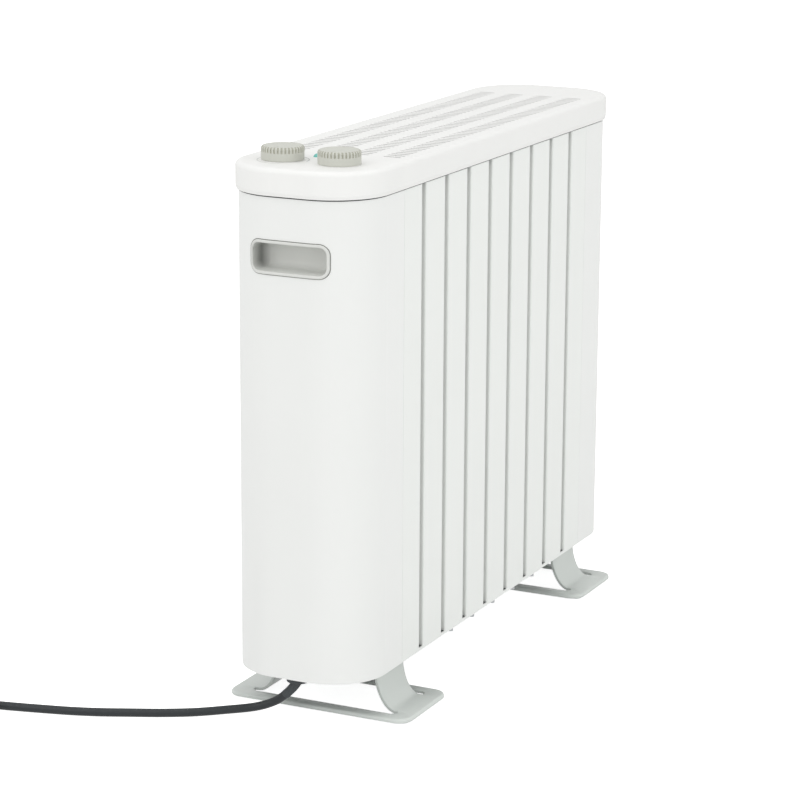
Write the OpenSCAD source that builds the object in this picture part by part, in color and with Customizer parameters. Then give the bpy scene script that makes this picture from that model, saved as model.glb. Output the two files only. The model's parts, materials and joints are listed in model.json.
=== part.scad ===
// Oil-free radiator heater, millimetres.
// +X is the long axis with the knobs at the -X end, +Z is up.
// The origin is on the floor under the middle of the casing.

/* [Casing] */
// Length of the sheet casing over both end shells
body_l = 529; // [500:1:560]
// Width of the sheet casing
body_w = 124; // [118:1:140]
// Plan radius of the casing corners
corner_r = 46; // [40:1:52]
// Height of the casing's lower edge above the floor
casing_z = 38.5; // [36:0.5:50]
// Height of the casing sheets
casing_h = 388.5; // [370:0.5:430]
// Thickness of the casing sheet
sheet = 1; // [0.8:0.1:1.2]
// Width of the inward fold along the casing's lower edge
fold_w = 8; // [6.5:0.5:10]
// Length of a long panel between its two seams
panel_l = 374; // [364:1:390]
// Reach of a panel's tongue behind an end shell
tongue_l = 12; // [8:1:16]
// Visible gap at each seam
seam_gap = 0.4; // [0.2:0.1:0.8]

/* [Grooves] */
// Number of grooves in each long panel
groove_n = 8; // [6:1:8]
// Distance from one groove to the next
groove_pitch = 43; // [38:0.5:45]
// Width of a groove from wall to wall
groove_w = 7.2; // [6:0.2:9]
// Depth of a groove
groove_d = 5.5; // [4.5:0.25:6]
// Outer radius of a groove's lips
lip_r = 1.5; // [1.3:0.1:2]
// Inner radius of a groove's bottom corners
groove_r = 2.5; // [1:0.1:2.6]
// Height of the flat strip that closes the panels under the grooves
strip_h = 2.5; // [1.5:0.1:4]
// Height of the slit at the lower end of each groove
slit_h = 0.3; // [0.2:0.1:2]

/* [Top cover] */
// Gap between the casing's top edge and the cover
cover_gap = 1.2; // [0.8:0.1:2]
// Height of the cover from its lower edge to the deck
cover_h = 21.8; // [19:0.2:26]
// How far the cover stands out past the casing
cover_over = 2.5; // [1.5:0.1:4]
// Wall thickness of the cover's skirt
cover_wall = 1.8; // [1.4:0.1:2.6]
// Thickness of the cover's deck
deck_t = 3; // [2:0.1:4]
// Rounding of the cover's upper edge
cover_edge = 4; // [2:0.5:5]
// Inward taper at the cover's lower edge
cover_taper = 0.8; // [0.4:0.1:1.2]

/* [Air slots] */
// Number of slots in each band
slot_n = 49; // [30:1:50]
// Distance from one slot to the next
slot_pitch = 7.7; // [7:0.1:7.8]
// Width of a slot
slot_w = 3.6; // [2.5:0.1:4.4]
// Length of a slot across the deck
slot_l = 15; // [10:0.5:17]
// Number of bands across the deck
band_n = 4; // [3:1:4]
// Distance from one band to the next
band_pitch = 28; // [26:0.2:30]
// Middle of the bands along the casing
band_x = 10; // [8:1:16]
// Middle of the bands across the casing
band_y = -3; // [-4:0.5:0]

/* [Knobs] */
// Diameter of a knob
knob_d = 34; // [30:0.5:36]
// Height of a knob
knob_h = 11; // [9:0.5:16]
// Distance between the two knobs
knob_pitch = 49.5; // [44:0.5:54]
// Distance of the knobs from the casing's end
knob_in = 38.5; // [36:0.5:44]
// Height of a knob above the deck
knob_lift = 0.6; // [0.4:0.1:2]
// Number of grip flutes on a knob
flute_n = 36; // [24:1:44]
// Width of a grip flute
flute_w = 1.2; // [1:0.1:1.8]
// Depth of a grip flute
flute_d = 1; // [0.6:0.1:1.4]
// Height of the smooth band under the flutes
knob_band = 6.5; // [4:0.5:8]
// Diameter of the two control shafts
shaft_d = 6; // [5:0.5:6.5]
// Diameter of the indicator lens
lens_d = 6; // [4:0.5:7]
// Height of the lens above the deck
lens_h = 2.6; // [1:0.1:2.9]

/* [Handles] */
// Width of a handle cup over its rim
cup_w = 70; // [64:1:76]
// Height of a handle cup over its rim
cup_h = 28; // [26:1:34]
// Corner radius of the rim
cup_r = 9; // [8:0.5:11]
// Width of the rim around the pocket
rim_w = 3; // [2.8:0.1:4]
// Thickness of the rim on the casing
rim_t = 1.2; // [0.8:0.1:2]
// Depth of the pocket behind the casing
cup_depth = 20; // [18:1:28]
// Wall thickness of a handle cup
cup_wall = 1.8; // [1.4:0.1:2]
// Height of the cup's middle above the casing's lower edge
cup_up = 341.5; // [330:0.5:343]

/* [Feet] */
// Distance between the two feet
foot_span = 364; // [352:1:372]
// How far the middle between the feet stands towards the knobs
foot_shift = 4; // [0:0.5:6]
// Length of a foot across the heater
foot_l = 164; // [156:1:180]
// Width of a foot along the heater
foot_w = 82; // [78:1:92]
// Plan radius of a foot's corners
foot_r = 12; // [9:0.5:16]
// Thickness of a foot's sheet
foot_t = 2.4; // [1.8:0.1:2.6]
// Depth of a foot's turned-down rim
foot_rim = 3.5; // [3:0.5:6]
// Width of the bars that join the two pads of a foot
bar_w = 11; // [8:0.5:12]
// Width of a foot's arms
arm_w = 47; // [44:1:56]
// Distance of the front arm's root from the foot's front edge
arm_front = 18; // [17:0.5:26]
// Distance of the rear arm's root from the foot's rear edge
arm_rear = 21; // [18:0.5:28]
// How far an arm leans in from root to top
arm_lean = 17; // [12:0.5:22]
// Length of an arm's flange under the base plate
arm_flange = 21; // [18:0.5:24]
// Length of the relief cut beside an arm's root
relief_l = 3; // [2:0.5:6]
// Diameter of a rubber pad
pad_d = 12; // [9:1:13]
// Height of the foot's rim above the floor
pad_lift = 1.5; // [1:0.1:3]
// Diameter of the studs that hold the feet
stud_d = 5; // [4:0.5:6]

/* [Heating unit] */
// Length of a finned element
element_l = 320; // [280:1:330]
// Span of a finned element from fin tip to fin tip
element_d = 62; // [50:1:70]
// Diameter of a finned element's core
core_d = 15; // [12:1:18]
// Thickness of a heating fin
fin_t = 2; // [1.5:0.1:3]
// Height of the lower element above the base plate
element_up = 58; // [50:1:70]
// Distance from the lower element to the upper one
element_pitch = 76; // [72:1:90]
// Thickness of the inner brackets
bracket_t = 1.2; // [1:0.1:2]

/* [Tip switch] */
// Length of the pendulum from its pin to the weight's middle
tip_l = 28; // [24:0.5:32]
// Diameter of the pendulum's weight
tip_d = 18; // [14:0.5:20]
// Diameter of the pendulum's pin
pin_d = 3; // [2.5:0.1:4]
// Distance between the frame's cheeks
cheek_gap = 14; // [12:0.5:18]

/* [Cord] */
// Diameter of the mains lead
cord_d = 7; // [6:0.1:7.5]
// Diameter of the plug's body
plug_d = 37; // [34:0.5:40]
// Thickness of the plug's body
plug_t = 20; // [16:0.5:22]
// Diameter of a plug pin
plug_pin_d = 4.8; // [4:0.1:5]
// Length of a plug pin
plug_pin_l = 19; // [17:0.5:20]

/* [Fits] */
// Radial clearance of a turning shaft or pin
run_fit = 0.05; // [0.02:0.01:0.09]
// Gap between fixed pieces that slip into each other
slip = 0.3; // [0.2:0.05:0.5]
// Radial clearance of a screw in its hole
screw_fit = 0.2; // [0.1:0.05:0.4]

/* [Hidden] */
$fn = 48;
eps = 0.02;

// Finishes
white_paint = "#ebeeec";
white_plastic = "#eff1ee";
warm_grey = "#c8c9bc";
cup_grey = "#c9ccc8";
foot_grey = "#bfc5c0";
dark_sheet = "#55595a";
dark_plastic = "#3a3d3e";
bare_steel = "#a9adb0";
bright_aluminium = "#c9ccce";
cord_black = "#3c4145";
ceramic = "#e6e0d2";

// Casing levels and places
casing_top = casing_z + casing_h;
strip_top = casing_z + strip_h;
plate_z = casing_z + sheet;
plate_top = plate_z + bracket_t;
half_l = body_l / 2;
half_w = body_w / 2;
half_p = panel_l / 2;
joggle = sheet + 0.1;
// Depth at which pieces stand behind the grooves
behind = groove_d + sheet;
frame_wall = 1.5;
flange_in = 0.6;

// Cover levels
skirt_z = casing_top + cover_gap;
deck_z = skirt_z + cover_h;
deck_under = deck_z - deck_t;
boss_r = 4;
boss_bore = 1.5;
boss_off = 8;
boss_x = [band_x - slot_n * slot_pitch / 2 - boss_off, band_x + slot_n * slot_pitch / 2 + boss_off];
boss_y = half_w - behind - frame_wall - boss_r - 3;
ledge_z = casing_top + 3;
ledge_t = 2;
tab_l = 12;
frame_drop = 18;
cover_grip = 10;

// How far the casing's end falls away behind a handle's rim
rim_bend = 8;

// Controls
knob_x = -half_l + knob_in;
knob_y = knob_pitch / 2;
knob_z = deck_z + knob_lift;
knob_wall = 2;
hub_r = shaft_d / 2 + 2.5;
shaft_top = knob_z + knob_h - knob_wall - slip;
control_z = casing_top + 4;
control_top = control_z + bracket_t;
neck_r = shaft_d / 2 + 2;
neck_top = deck_under - slip;
shaft_z = control_z - 12;
nut_h = 2.5;
switch_h = 22;
spade_l = 9;
control_back = 22;
control_fore = 32;
lens_in = 25;
lens_x = knob_x + lens_in;
lens_y = 7.5;

// Feet; they stand a little forward of the casing's middle
foot_y = -3;
function foot_at(s) = s * foot_span / 2 - foot_shift;
foot_top = pad_lift + foot_rim;
foot_under = foot_top - foot_t;
root_front = -foot_l / 2 + arm_front;
root_rear = foot_l / 2 - arm_rear;
arm_reach = arm_lean + arm_flange / 2;
stud_y = [foot_y + root_front + arm_reach, foot_y + root_rear - arm_reach];
stud_low = plate_z - foot_t - 10;
stud_head_r = stud_d / 2 + 2;
stud_head_h = 1.5;
washer_h = 1;
wing_h = 5;

// Heating unit
element_z = plate_top + element_up;
bracket_x = element_l / 2 + 8;
bush_r = 7;
rod_r = 3;
bracket_half = 44;
bracket_over = 24;
sheet_foot = 10;
// Mains connections; the shield stands clear of them
block_size = [30, 20, 16];
block_x = knob_x + 4;
block_y = stud_y[0] + stud_head_r + 1 + block_size[1] / 2;
shield_gap = 11;
shield_x = -(block_x + block_size[0] / 2 + shield_gap);
shield_half = half_w - behind - 4;
shield_drop = 23;
shield_top = casing_top - shield_drop;
shield_hole = 20;
cutout_up = 60;

// Tip switch
tip_x = knob_x + 2;
tip_y = 28;
pin_z = plate_top + bracket_t + tip_l + tip_d / 2 + 6;
cheek_t = 1.5;
hub_l = 8;
tip_hub_r = pin_d / 2 + 2.5;

// Lower screws
screw_r = 1.5;
head_r = 3;
head_h = 3.2;
screw_x = [-2 * groove_pitch, -groove_pitch, 0, groove_pitch, 2 * groove_pitch];
screw_in = 3.5;

// Cord and gland
cord_r = cord_d / 2;
gland_in = 19.5;
gland_x = -half_l + gland_in;
gland_y = 3;
gland_disc_r = 9.5;
gland_disc_t = 6.5;
gland_neck_r = 7;
// The boot's two lengths, their tilts and its radii from the collar to the lead
boot_l = [8, 10.55];
boot_tilt = [28, 46.6];
boot_r = [4.8, 4.4, cord_r + 0.5];
gland_top = [gland_x, gland_y, casing_z - gland_disc_t];
gland_bend = gland_top + boot_l[0] * [0, sin(boot_tilt[0]), -cos(boot_tilt[0])];
gland_end = gland_bend + boot_l[1] * [0, sin(boot_tilt[1]), -cos(boot_tilt[1])];
// The lead's free route on the floor, points chosen by hand
cord_route = [gland_end, [-245.2, 21.5, 12], [-246.2, 29.5, 7.8], [-248.6, 37, 5.2],
              [-252.4, 44.5, 3.9], [-257.8, 51.8, 3.5], [-264.5, 59.6, 3.5], [-273.5, 70, 3.5],
              [-283, 83, 3.5], [-294, 102.5, 3.5], [-304, 124, 3.5], [-314, 146, 3.5],
              [-322, 168, 3.5], [-328, 190, 3.5], [-333, 210, 3.5], [-337, 228, 3.5],
              [-339.5, 246, 3.5], [-340, 262, 3.5]];
coil_start = cord_route[len(cord_route) - 1];
coil_r = 47.5;
coil_step = 7.6;
coil_turns = 2.25;
coil_lead = 7;
tail_r = 28;
tail_turn = 90;
tail_rise = 10.9;
rise_before = 30;
coil_c = [coil_start[0] - coil_r, coil_start[1] + coil_lead];

// Plan outline of the casing, drawn in by inset
module casing_plan(inset) {
    rounded(body_l - 2 * inset, body_w - 2 * inset, corner_r - inset);
}

// Flat outline with round corners
module rounded(l, w, r) {
    square([l - 2 * r, w], center = true);
    square([l, w - 2 * r], center = true);
    for (sx = [-1, 1], sy = [-1, 1])
        translate([sx * (l / 2 - r), sy * (w / 2 - r)])
            circle(r);
}

// Upright band between two insets of the casing's plan
module casing_band(z0, z1, outer, inner) {
    translate([0, 0, z0])
        linear_extrude(z1 - z0)
            difference() {
                casing_plan(outer);
                casing_plan(inner);
            }
}

// Solid with a flat top, round corners and an edge profile carried round it
module edged_slab(l, w, r, h) {
    for (sx = [-1, 1], sy = [-1, 1])
        translate([sx * (l / 2 - r), sy * (w / 2 - r), 0])
            rotate_extrude()
                children();
    for (a = [0, 180])
        rotate([0, 0, a])
            translate([l / 2 - r, 0, 0])
                rotate([90, 0, 0])
                    linear_extrude(w - 2 * r, center = true)
                        children();
    for (a = [0, 180])
        rotate([0, 0, a])
            translate([0, w / 2 - r, 0])
                rotate([90, 0, 90])
                    linear_extrude(l - 2 * r, center = true)
                        children();
    translate([-(l / 2 - r), -(w / 2 - r), 0])
        cube([l - 2 * r, w - 2 * r, h]);
}

// Half profile of an edged slab: round at the top, drawn in at the bottom
module edge_profile(r, h, edge, taper, taper_h) {
    difference() {
        union() {
            square([r, h - edge]);
            square([r - edge, h]);
            translate([r - edge, h - edge])
                intersection() {
                    circle(edge);
                    square(edge + eps);
                }
        }
        if (taper > 0)
            polygon([[r - taper, -eps], [r + eps, -eps], [r + eps, taper_h], [r, taper_h]]);
    }
}

module ends(s) {
    if (s < 0)
        mirror([1, 0, 0])
            children();
    else
        children();
}

// End shells, drawn at the +X end
module end_shell(s) {
    ear_w = 20;
    color(white_paint)
        ends(s)
            difference() {
                union() {
                    intersection() {
                        union() {
                            casing_band(casing_z, casing_top, 0, sheet);
                            casing_band(casing_z, plate_z, sheet - eps, fold_w);
                        }
                        translate([half_p, -half_w - 1, casing_z - 1])
                            cube([half_l, body_w + 2, casing_h + 2]);
                    }
                    translate([half_l - behind + slip, -ear_w / 2, casing_top - sheet])
                        cube([behind - slip - sheet + eps, ear_w, sheet]);
                }
                cup_at()
                    translate([-rim_bend, 0, 0])
                        cup_prism(rim_bend + 1, -rim_w + cup_wall + slip);
                translate([half_l - screw_in, 0, casing_top - sheet - 1])
                    cylinder(r = screw_r + screw_fit, h = sheet + 2);
            }
}

// Long panels: one folded ribbon of sheet with grooves, drawn on the -Y side
groove_x = [for (i = [0:groove_n - 1]) (i - (groove_n - 1) / 2) * groove_pitch];

function arc(c, r, a0, a1, n) = [for (i = [0:n]) c + r * [cos(a0 + (a1 - a0) * i / n),
                                                        sin(a0 + (a1 - a0) * i / n)]];
function flip(path) = [for (i = [len(path) - 1:-1:0]) path[i]];
function join(paths) = [for (p = paths) for (q = p) q];

// One groove's path at a given distance behind the panel's face
function groove_path(c, off) =
    let (h = groove_w / 2)
    join([arc([c - h - lip_r, lip_r], lip_r - off, -90, 0, 4),
          arc([c - h + groove_r, groove_d - groove_r], groove_r + off, 180, 90, 4),
          arc([c + h - groove_r, groove_d - groove_r], groove_r + off, 90, 0, 4),
          arc([c + h + lip_r, lip_r], lip_r - off, 180, 270, 4)]);

function panel_face(off) = join([for (c = groove_x) groove_path(c, off)]);

function panel_profile() =
    let (edge = half_p - seam_gap / 2, reach = half_p + tongue_l, back = joggle + sheet)
    join([[[-reach, joggle], [-edge, joggle], [-edge, 0]],
          panel_face(0),
          [[edge, 0], [edge, joggle], [reach, joggle], [reach, back],
           [edge - sheet, back], [edge - sheet, sheet]],
          flip(panel_face(sheet)),
          [[-edge + sheet, sheet], [-edge + sheet, back], [-reach, back]]]);

module long_panel() {
    edge = half_p - seam_gap / 2;
    color(white_paint)
        translate([0, -half_w, 0])
            difference() {
                union() {
                    translate([0, 0, strip_top])
                        linear_extrude(casing_top - strip_top)
                            polygon(panel_profile());
                    translate([-edge, 0, casing_z])
                        cube([2 * edge, sheet, strip_h]);
                    translate([-edge, 0, casing_z])
                        cube([2 * edge, fold_w, sheet]);
                    for (x = [-2, 2] * groove_pitch)
                        translate([x - 8, 0, casing_top - sheet])
                            cube([16, behind - slip, sheet]);
                }
                for (x = groove_x)
                    translate([x - groove_w / 2 - lip_r, groove_r, strip_top - eps])
                        cube([groove_w + 2 * lip_r, behind, slit_h + eps]);
                for (x = screw_x)
                    translate([x, screw_in, casing_z - 1])
                        cylinder(r = screw_r + screw_fit, h = sheet + 2);
                for (x = [-2, 2] * groove_pitch)
                    translate([x, screw_in, casing_top - sheet - 1])
                        cylinder(r = screw_r + screw_fit, h = sheet + 2);
            }
}

module near_end_shell() {
    end_shell(-1);
}

module far_end_shell() {
    end_shell(1);
}

module front_panel() {
    long_panel();
}

module rear_panel() {
    mirror([0, 1, 0])
        long_panel();
}

// Bottom tray with air inlets, an upturned rim behind the grooves and its holes
module base_plate() {
    inlet_w = 26;
    inlet_d = 5;
    inlet_pitch_x = 38;
    inlet_pitch_y = 12;
    color(dark_sheet)
        difference() {
            union() {
                casing_band(plate_z, plate_top, sheet + slip, corner_r - 1);
                translate([0, 0, plate_z])
                    linear_extrude(bracket_t)
                        square([body_l - 2 * corner_r + 2, body_w - 2 * (sheet + slip)], center = true);
                casing_band(plate_top - eps, plate_top + 12, behind, behind + bracket_t);
            }
            for (i = [-3.5:3.5], j = [-2.5:2.5])
                translate([i * inlet_pitch_x, j * inlet_pitch_y, plate_z - 1])
                    inlet(inlet_w, inlet_d, bracket_t + 2);
            for (x = screw_x, s = [-1, 1])
                translate([x, s * (half_w - screw_in), plate_z - 1])
                    cylinder(r = screw_r + run_fit, h = bracket_t + 2);
            for (s = [-1, 1], y = stud_y)
                translate([foot_at(s), y, plate_z - 1])
                    cylinder(d = stud_d + 2 * run_fit, h = bracket_t + 2);
            translate([gland_x, gland_y, plate_z - 1])
                cylinder(r = gland_neck_r + run_fit, h = bracket_t + 2);
        }
}

module inlet(l, w, h) {
    translate([-(l - w) / 2, -w / 2, 0])
        cube([l - w, w, h]);
    for (s = [-1, 1])
        translate([s * (l - w) / 2, 0, 0])
            cylinder(d = w, h = h);
}

// Frame ring that joins the casing's top edge to the cover
module top_frame() {
    frame_low = casing_top - frame_drop;
    color(dark_plastic)
        difference() {
            union() {
                casing_band(casing_top, skirt_z, flange_in, behind + frame_wall);
                casing_band(frame_low, deck_under, behind, behind + frame_wall);
                for (x = boss_x, s = [-1, 1])
                    translate([x - tab_l / 2, s < 0 ? -half_w + behind + eps : boss_y - boss_r,
                               ledge_z - ledge_t])
                        cube([tab_l, half_w - behind - boss_y + boss_r - eps, ledge_t]);
            }
            for (x = boss_x, s = [-1, 1])
                translate([x, s * boss_y, ledge_z - ledge_t - 1])
                    cylinder(r = boss_bore + screw_fit, h = ledge_t + 2);
            for (p = frame_screw_places())
                translate([p[0], p[1], casing_top - 1])
                    cylinder(r = screw_r + screw_fit, h = cover_gap + 2);
        }
}

function frame_screw_places() = [
    [-half_l + screw_in, 0], [half_l - screw_in, 0],
    [-2 * groove_pitch, -half_w + screw_in], [2 * groove_pitch, -half_w + screw_in],
    [-2 * groove_pitch, half_w - screw_in], [2 * groove_pitch, half_w - screw_in]];

// Cover: skirt and deck in one moulding, with slots, knob holes and screw bosses
module top_cover() {
    l = body_l + 2 * cover_over;
    w = body_w + 2 * cover_over;
    r = corner_r + cover_over;
    color(white_plastic)
        difference() {
            union() {
                difference() {
                    translate([0, 0, skirt_z])
                        edged_slab(l, w, r, cover_h)
                            edge_profile(r, cover_h, cover_edge, cover_taper, 3);
                    translate([0, 0, skirt_z - 1])
                        linear_extrude(cover_h - deck_t + 1)
                            casing_plan(cover_wall - cover_over);
                }
                for (x = boss_x, s = [-1, 1])
                    translate([x, s * boss_y, ledge_z])
                        cylinder(r = boss_r, h = deck_under - ledge_z + eps);
            }
            translate([0, 0, deck_under - 1])
                linear_extrude(deck_t + 2)
                    slot_field();
            for (s = [-1, 1])
                translate([knob_x, s * knob_y, deck_under - 1])
                    cylinder(r = shaft_d / 2 + 1, h = deck_t + 2);
            translate([lens_x, lens_y, deck_under - 1])
                cylinder(d = lens_d + 2 * run_fit, h = deck_t + 2);
            for (x = boss_x, s = [-1, 1])
                translate([x, s * boss_y, ledge_z - 1])
                    cylinder(r = boss_bore + run_fit, h = cover_grip + 3);
        }
}

// All air slots as flat outlines
module slot_field() {
    for (j = [0:band_n - 1], i = [0:slot_n - 1])
        translate([band_x + (i - (slot_n - 1) / 2) * slot_pitch,
                   band_y + (j - (band_n - 1) / 2) * band_pitch])
            square([slot_w, slot_l], center = true);
}

// Grip pocket: a prism with the rim's outline, grown by grow
module cup_prism(h, grow) {
    rotate([90, 0, 90])
        linear_extrude(h)
            rounded(cup_w + 2 * grow, cup_h + 2 * grow, cup_r + grow);
}

module cup_at() {
    translate([half_l, 0, casing_z + cup_up])
        children();
}

// Blind block from x = start to -X, with round corners and a round inner edge
module cup_block(start, depth, grow) {
    r = cup_r + grow;
    translate([start, 0, 0])
        rotate([0, -90, 0])
            edged_slab(cup_h + 2 * grow, cup_w + 2 * grow, r, depth + start)
                edge_profile(r, depth + start, r - 0.6, 0, 0);
}

// The rim lies on the curved end, so both the rim and the pocket's mouth end at its plan
module handle_cup(s) {
    z0 = casing_z + cup_up - cup_h / 2 - 1;
    color(cup_grey)
        ends(s)
            difference() {
                union() {
                    intersection() {
                        cup_at()
                            cup_block(rim_t, cup_depth + cup_wall, cup_wall - rim_w);
                        translate([0, 0, z0])
                            linear_extrude(cup_h + 2)
                                casing_plan(-rim_t);
                    }
                    intersection() {
                        cup_at()
                            translate([-rim_bend, 0, 0])
                                cup_prism(rim_bend + rim_t + 1, 0);
                        casing_band(z0, z0 + cup_h + 2, -rim_t, 0);
                    }
                }
                cup_at()
                    cup_block(rim_t + 1, cup_depth, -rim_w);
            }
}

module handle_cup_near() {
    handle_cup(-1);
}

module handle_cup_far() {
    handle_cup(1);
}

// Knob with a hollow underside, a hub and grip flutes
module knob(s) {
    fillet = 1;
    color(warm_grey)
        translate([knob_x, s * knob_y, knob_z])
            difference() {
                rotate_extrude()
                    difference() {
                        union() {
                            square([knob_d / 2, knob_h - fillet]);
                            square([knob_d / 2 - fillet, knob_h]);
                            translate([knob_d / 2 - fillet, knob_h - fillet])
                                circle(fillet);
                        }
                        translate([hub_r, -1])
                            square([knob_d / 2 - knob_wall - flute_d - hub_r,
                                    knob_h - knob_wall + 1]);
                        translate([0, -1])
                            square([shaft_d / 2 + run_fit, knob_h - knob_wall + 1]);
                    }
                for (i = [0:flute_n - 1])
                    rotate([0, 0, (i + 0.5) * 360 / flute_n])
                        translate([knob_d / 2 - flute_d, -flute_w / 2, knob_band])
                            cube([flute_d + 1, flute_w, knob_h]);
                rotate([0, 0, 180])
                    translate([knob_d / 2 - 9, -0.6, knob_h - 0.5])
                        cube([6.5, 1.2, 1]);
            }
}

module control_shaft(s) {
    color(bright_aluminium)
        translate([knob_x, s * knob_y, shaft_z])
            cylinder(d = shaft_d, h = shaft_top - shaft_z);
}

// Body with a threaded neck, bored for its shaft; children are its case
module control_body(s) {
    translate([knob_x, s * knob_y, 0])
        difference() {
            union() {
                children();
                translate([0, 0, control_z - eps])
                    cylinder(r = neck_r, h = neck_top - control_z + eps);
            }
            translate([0, 0, shaft_z - slip])
                cylinder(r = shaft_d / 2 + run_fit, h = neck_top - shaft_z + 1);
        }
}

module spade(x, y, z) {
    translate([x - 0.4, y - 3.1, z])
        cube([0.8, 6.2, spade_l]);
}

module thermostat_knob() {
    knob(1);
}

module thermostat_shaft() {
    control_shaft(1);
}

module thermostat() {
    case_r = 16;
    case_h = 20;
    color(dark_plastic)
        control_body(1) {
            translate([0, 0, control_z - case_h])
                cylinder(r = case_r, h = case_h);
            for (x = [-8, 8])
                spade(x, 0, control_z - case_h - spade_l + eps);
        }
}

module power_knob() {
    knob(-1);
}

module switch_shaft() {
    control_shaft(-1);
}

module power_switch() {
    case_w = 28;
    color(dark_plastic)
        control_body(-1) {
            translate([-case_w / 2, -case_w / 2, control_z - switch_h])
                cube([case_w, case_w, switch_h]);
            for (x = [-9, 0, 9])
                spade(x, 0, control_z - switch_h - spade_l + eps);
        }
}

module bush_nuts() {
    color(bare_steel)
        for (s = [-1, 1])
            translate([knob_x, s * knob_y, control_top])
                difference() {
                    cylinder(r = neck_r + 3, h = nut_h, $fn = 6);
                    translate([0, 0, -1])
                        cylinder(r = neck_r + run_fit, h = nut_h + 2);
                }
}

// Bracket plate inside the frame ring with two tabs against its straight walls
module control_bracket() {
    near_x = knob_x - control_back;
    far_x = knob_x + control_fore;
    tab_x = -half_l + corner_r + 2;
    tab_h = 10;
    inner = behind + frame_wall;
    color(bare_steel)
        difference() {
            union() {
                translate([0, 0, control_z])
                    linear_extrude(bracket_t)
                        intersection() {
                            casing_plan(inner + slip);
                            translate([near_x, -half_w])
                                square([far_x - near_x, body_w]);
                        }
                for (s = [-1, 1])
                    translate([tab_x, s > 0 ? half_w - inner - bracket_t : -half_w + inner,
                               control_z - tab_h])
                        cube([far_x - tab_x, bracket_t, tab_h + bracket_t]);
            }
            for (s = [-1, 1])
                translate([knob_x, s * knob_y, control_z - 1])
                    cylinder(r = neck_r + run_fit, h = bracket_t + 2);
            translate([lens_x, lens_y, control_z - 1])
                cylinder(r = 1.2, h = bracket_t + 2);
            for (s = [-1, 1])
                translate([boss_x[0] - tab_l / 2 - slip, s > 0 ? boss_y - boss_r - slip : -half_w,
                           ledge_z - ledge_t - tab_h])
                    cube([tab_l + 2 * slip, half_w - boss_y + boss_r + slip, 2 * tab_h]);
        }
}

module indicator_lens() {
    collar_h = 1.5;
    dome_r = (pow(lens_d / 2, 2) + lens_h * lens_h) / (2 * lens_h);
    color("#3fa596")
        translate([lens_x, lens_y, 0]) {
            translate([0, 0, deck_under - collar_h])
                cylinder(d = lens_d + 2.6, h = collar_h);
            translate([0, 0, deck_under - eps])
                cylinder(d = lens_d, h = deck_t + eps);
            intersection() {
                translate([0, 0, deck_z + lens_h - dome_r])
                    sphere(dome_r);
                translate([0, 0, deck_z - eps])
                    cylinder(d = lens_d, h = lens_h + 1);
            }
        }
}

module indicator_lamp() {
    color("#d98b52")
        translate([lens_x, lens_y, 0]) {
            translate([0, 0, control_top])
                cylinder(d = lens_d, h = deck_under - 1.5 - control_top);
            translate([0, 0, control_z - 8])
                cylinder(r = 1, h = 8 + bracket_t + eps);
        }
}

// Foot: the side view of an arm, from its root at y = 0 inward to +Y and up
function arm_side(off) =
    let (seat = plate_z - foot_under, rb = 2, top = seat - foot_t)
    join([[for (t = [0:9:72])
              let (p = [arm_lean * sin(t), seat * (1 - cos(t))],
                   n = [-seat * sin(t), arm_lean * cos(t)] / norm([seat * sin(t), arm_lean * cos(t)]))
              p + off * n],
          arc([arm_lean + rb, top - rb], rb + off, 180, 90, 4),
          [[arm_lean + arm_flange, top + off]]]);

module foot_arm() {
    rotate([90, 0, 90])
        linear_extrude(arm_w, center = true)
            polygon(join([arm_side(0), flip(arm_side(foot_t))]));
}

// A foot centred on x = 0, with its front arm at -Y
module foot() {
    open_w = foot_w - 2 * bar_w;
    open_l = root_rear - root_front;
    fold = 2;
    color(foot_grey)
        difference() {
            union() {
                difference() {
                    translate([0, 0, pad_lift])
                        edged_slab(foot_w, foot_l, foot_r, foot_rim)
                            edge_profile(foot_r, foot_rim, fold, 0, 0);
                    difference() {
                        translate([0, 0, pad_lift - 1])
                            linear_extrude(foot_rim - foot_t + 1)
                                rounded(foot_w - 2 * foot_t, foot_l - 2 * foot_t, foot_r - foot_t);
                        translate([-open_w / 2 - foot_t, root_front - foot_t, 0])
                            cube([open_w + 2 * foot_t, open_l + 2 * foot_t, foot_rim * 2]);
                    }
                    translate([-open_w / 2, root_front, 0])
                        cube([open_w, open_l, foot_top + 1]);
                    for (s = [-1, 1])
                        translate([s * (open_w + arm_w) / 4 - (open_w - arm_w) / 4,
                                   root_front - relief_l, 0])
                            cube([(open_w - arm_w) / 2, open_l + 2 * relief_l, foot_top + 1]);
                }
                translate([0, root_front, foot_under])
                    foot_arm();
                translate([0, root_rear, foot_under])
                    mirror([0, 1, 0])
                        foot_arm();
            }
            for (y = stud_y)
                translate([0, y - foot_y, foot_under + 10])
                    cylinder(r = stud_d / 2 + screw_fit, h = plate_z - foot_under);
        }
}

module foot_near() {
    translate([foot_at(-1), foot_y, 0])
        foot();
}

module foot_far() {
    translate([foot_at(1), foot_y, 0])
        foot();
}

module foot_pads() {
    in_x = foot_w / 2 - foot_r;
    in_y = foot_l / 2 - foot_t - pad_d / 2 - slip;
    color(cord_black)
        for (f = [-1, 1], sx = [-1, 1], sy = [-1, 1])
            translate([foot_at(f) + sx * in_x, foot_y + sy * in_y, 0])
                cylinder(d = pad_d, h = foot_under);
}

module foot_studs() {
    color(bare_steel)
        for (s = [-1, 1], y = stud_y)
            translate([foot_at(s), y, stud_low]) {
                cylinder(d = stud_d, h = plate_top - stud_low + eps);
                translate([0, 0, plate_top - stud_low])
                    cylinder(r = stud_head_r, h = stud_head_h);
            }
}

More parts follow.
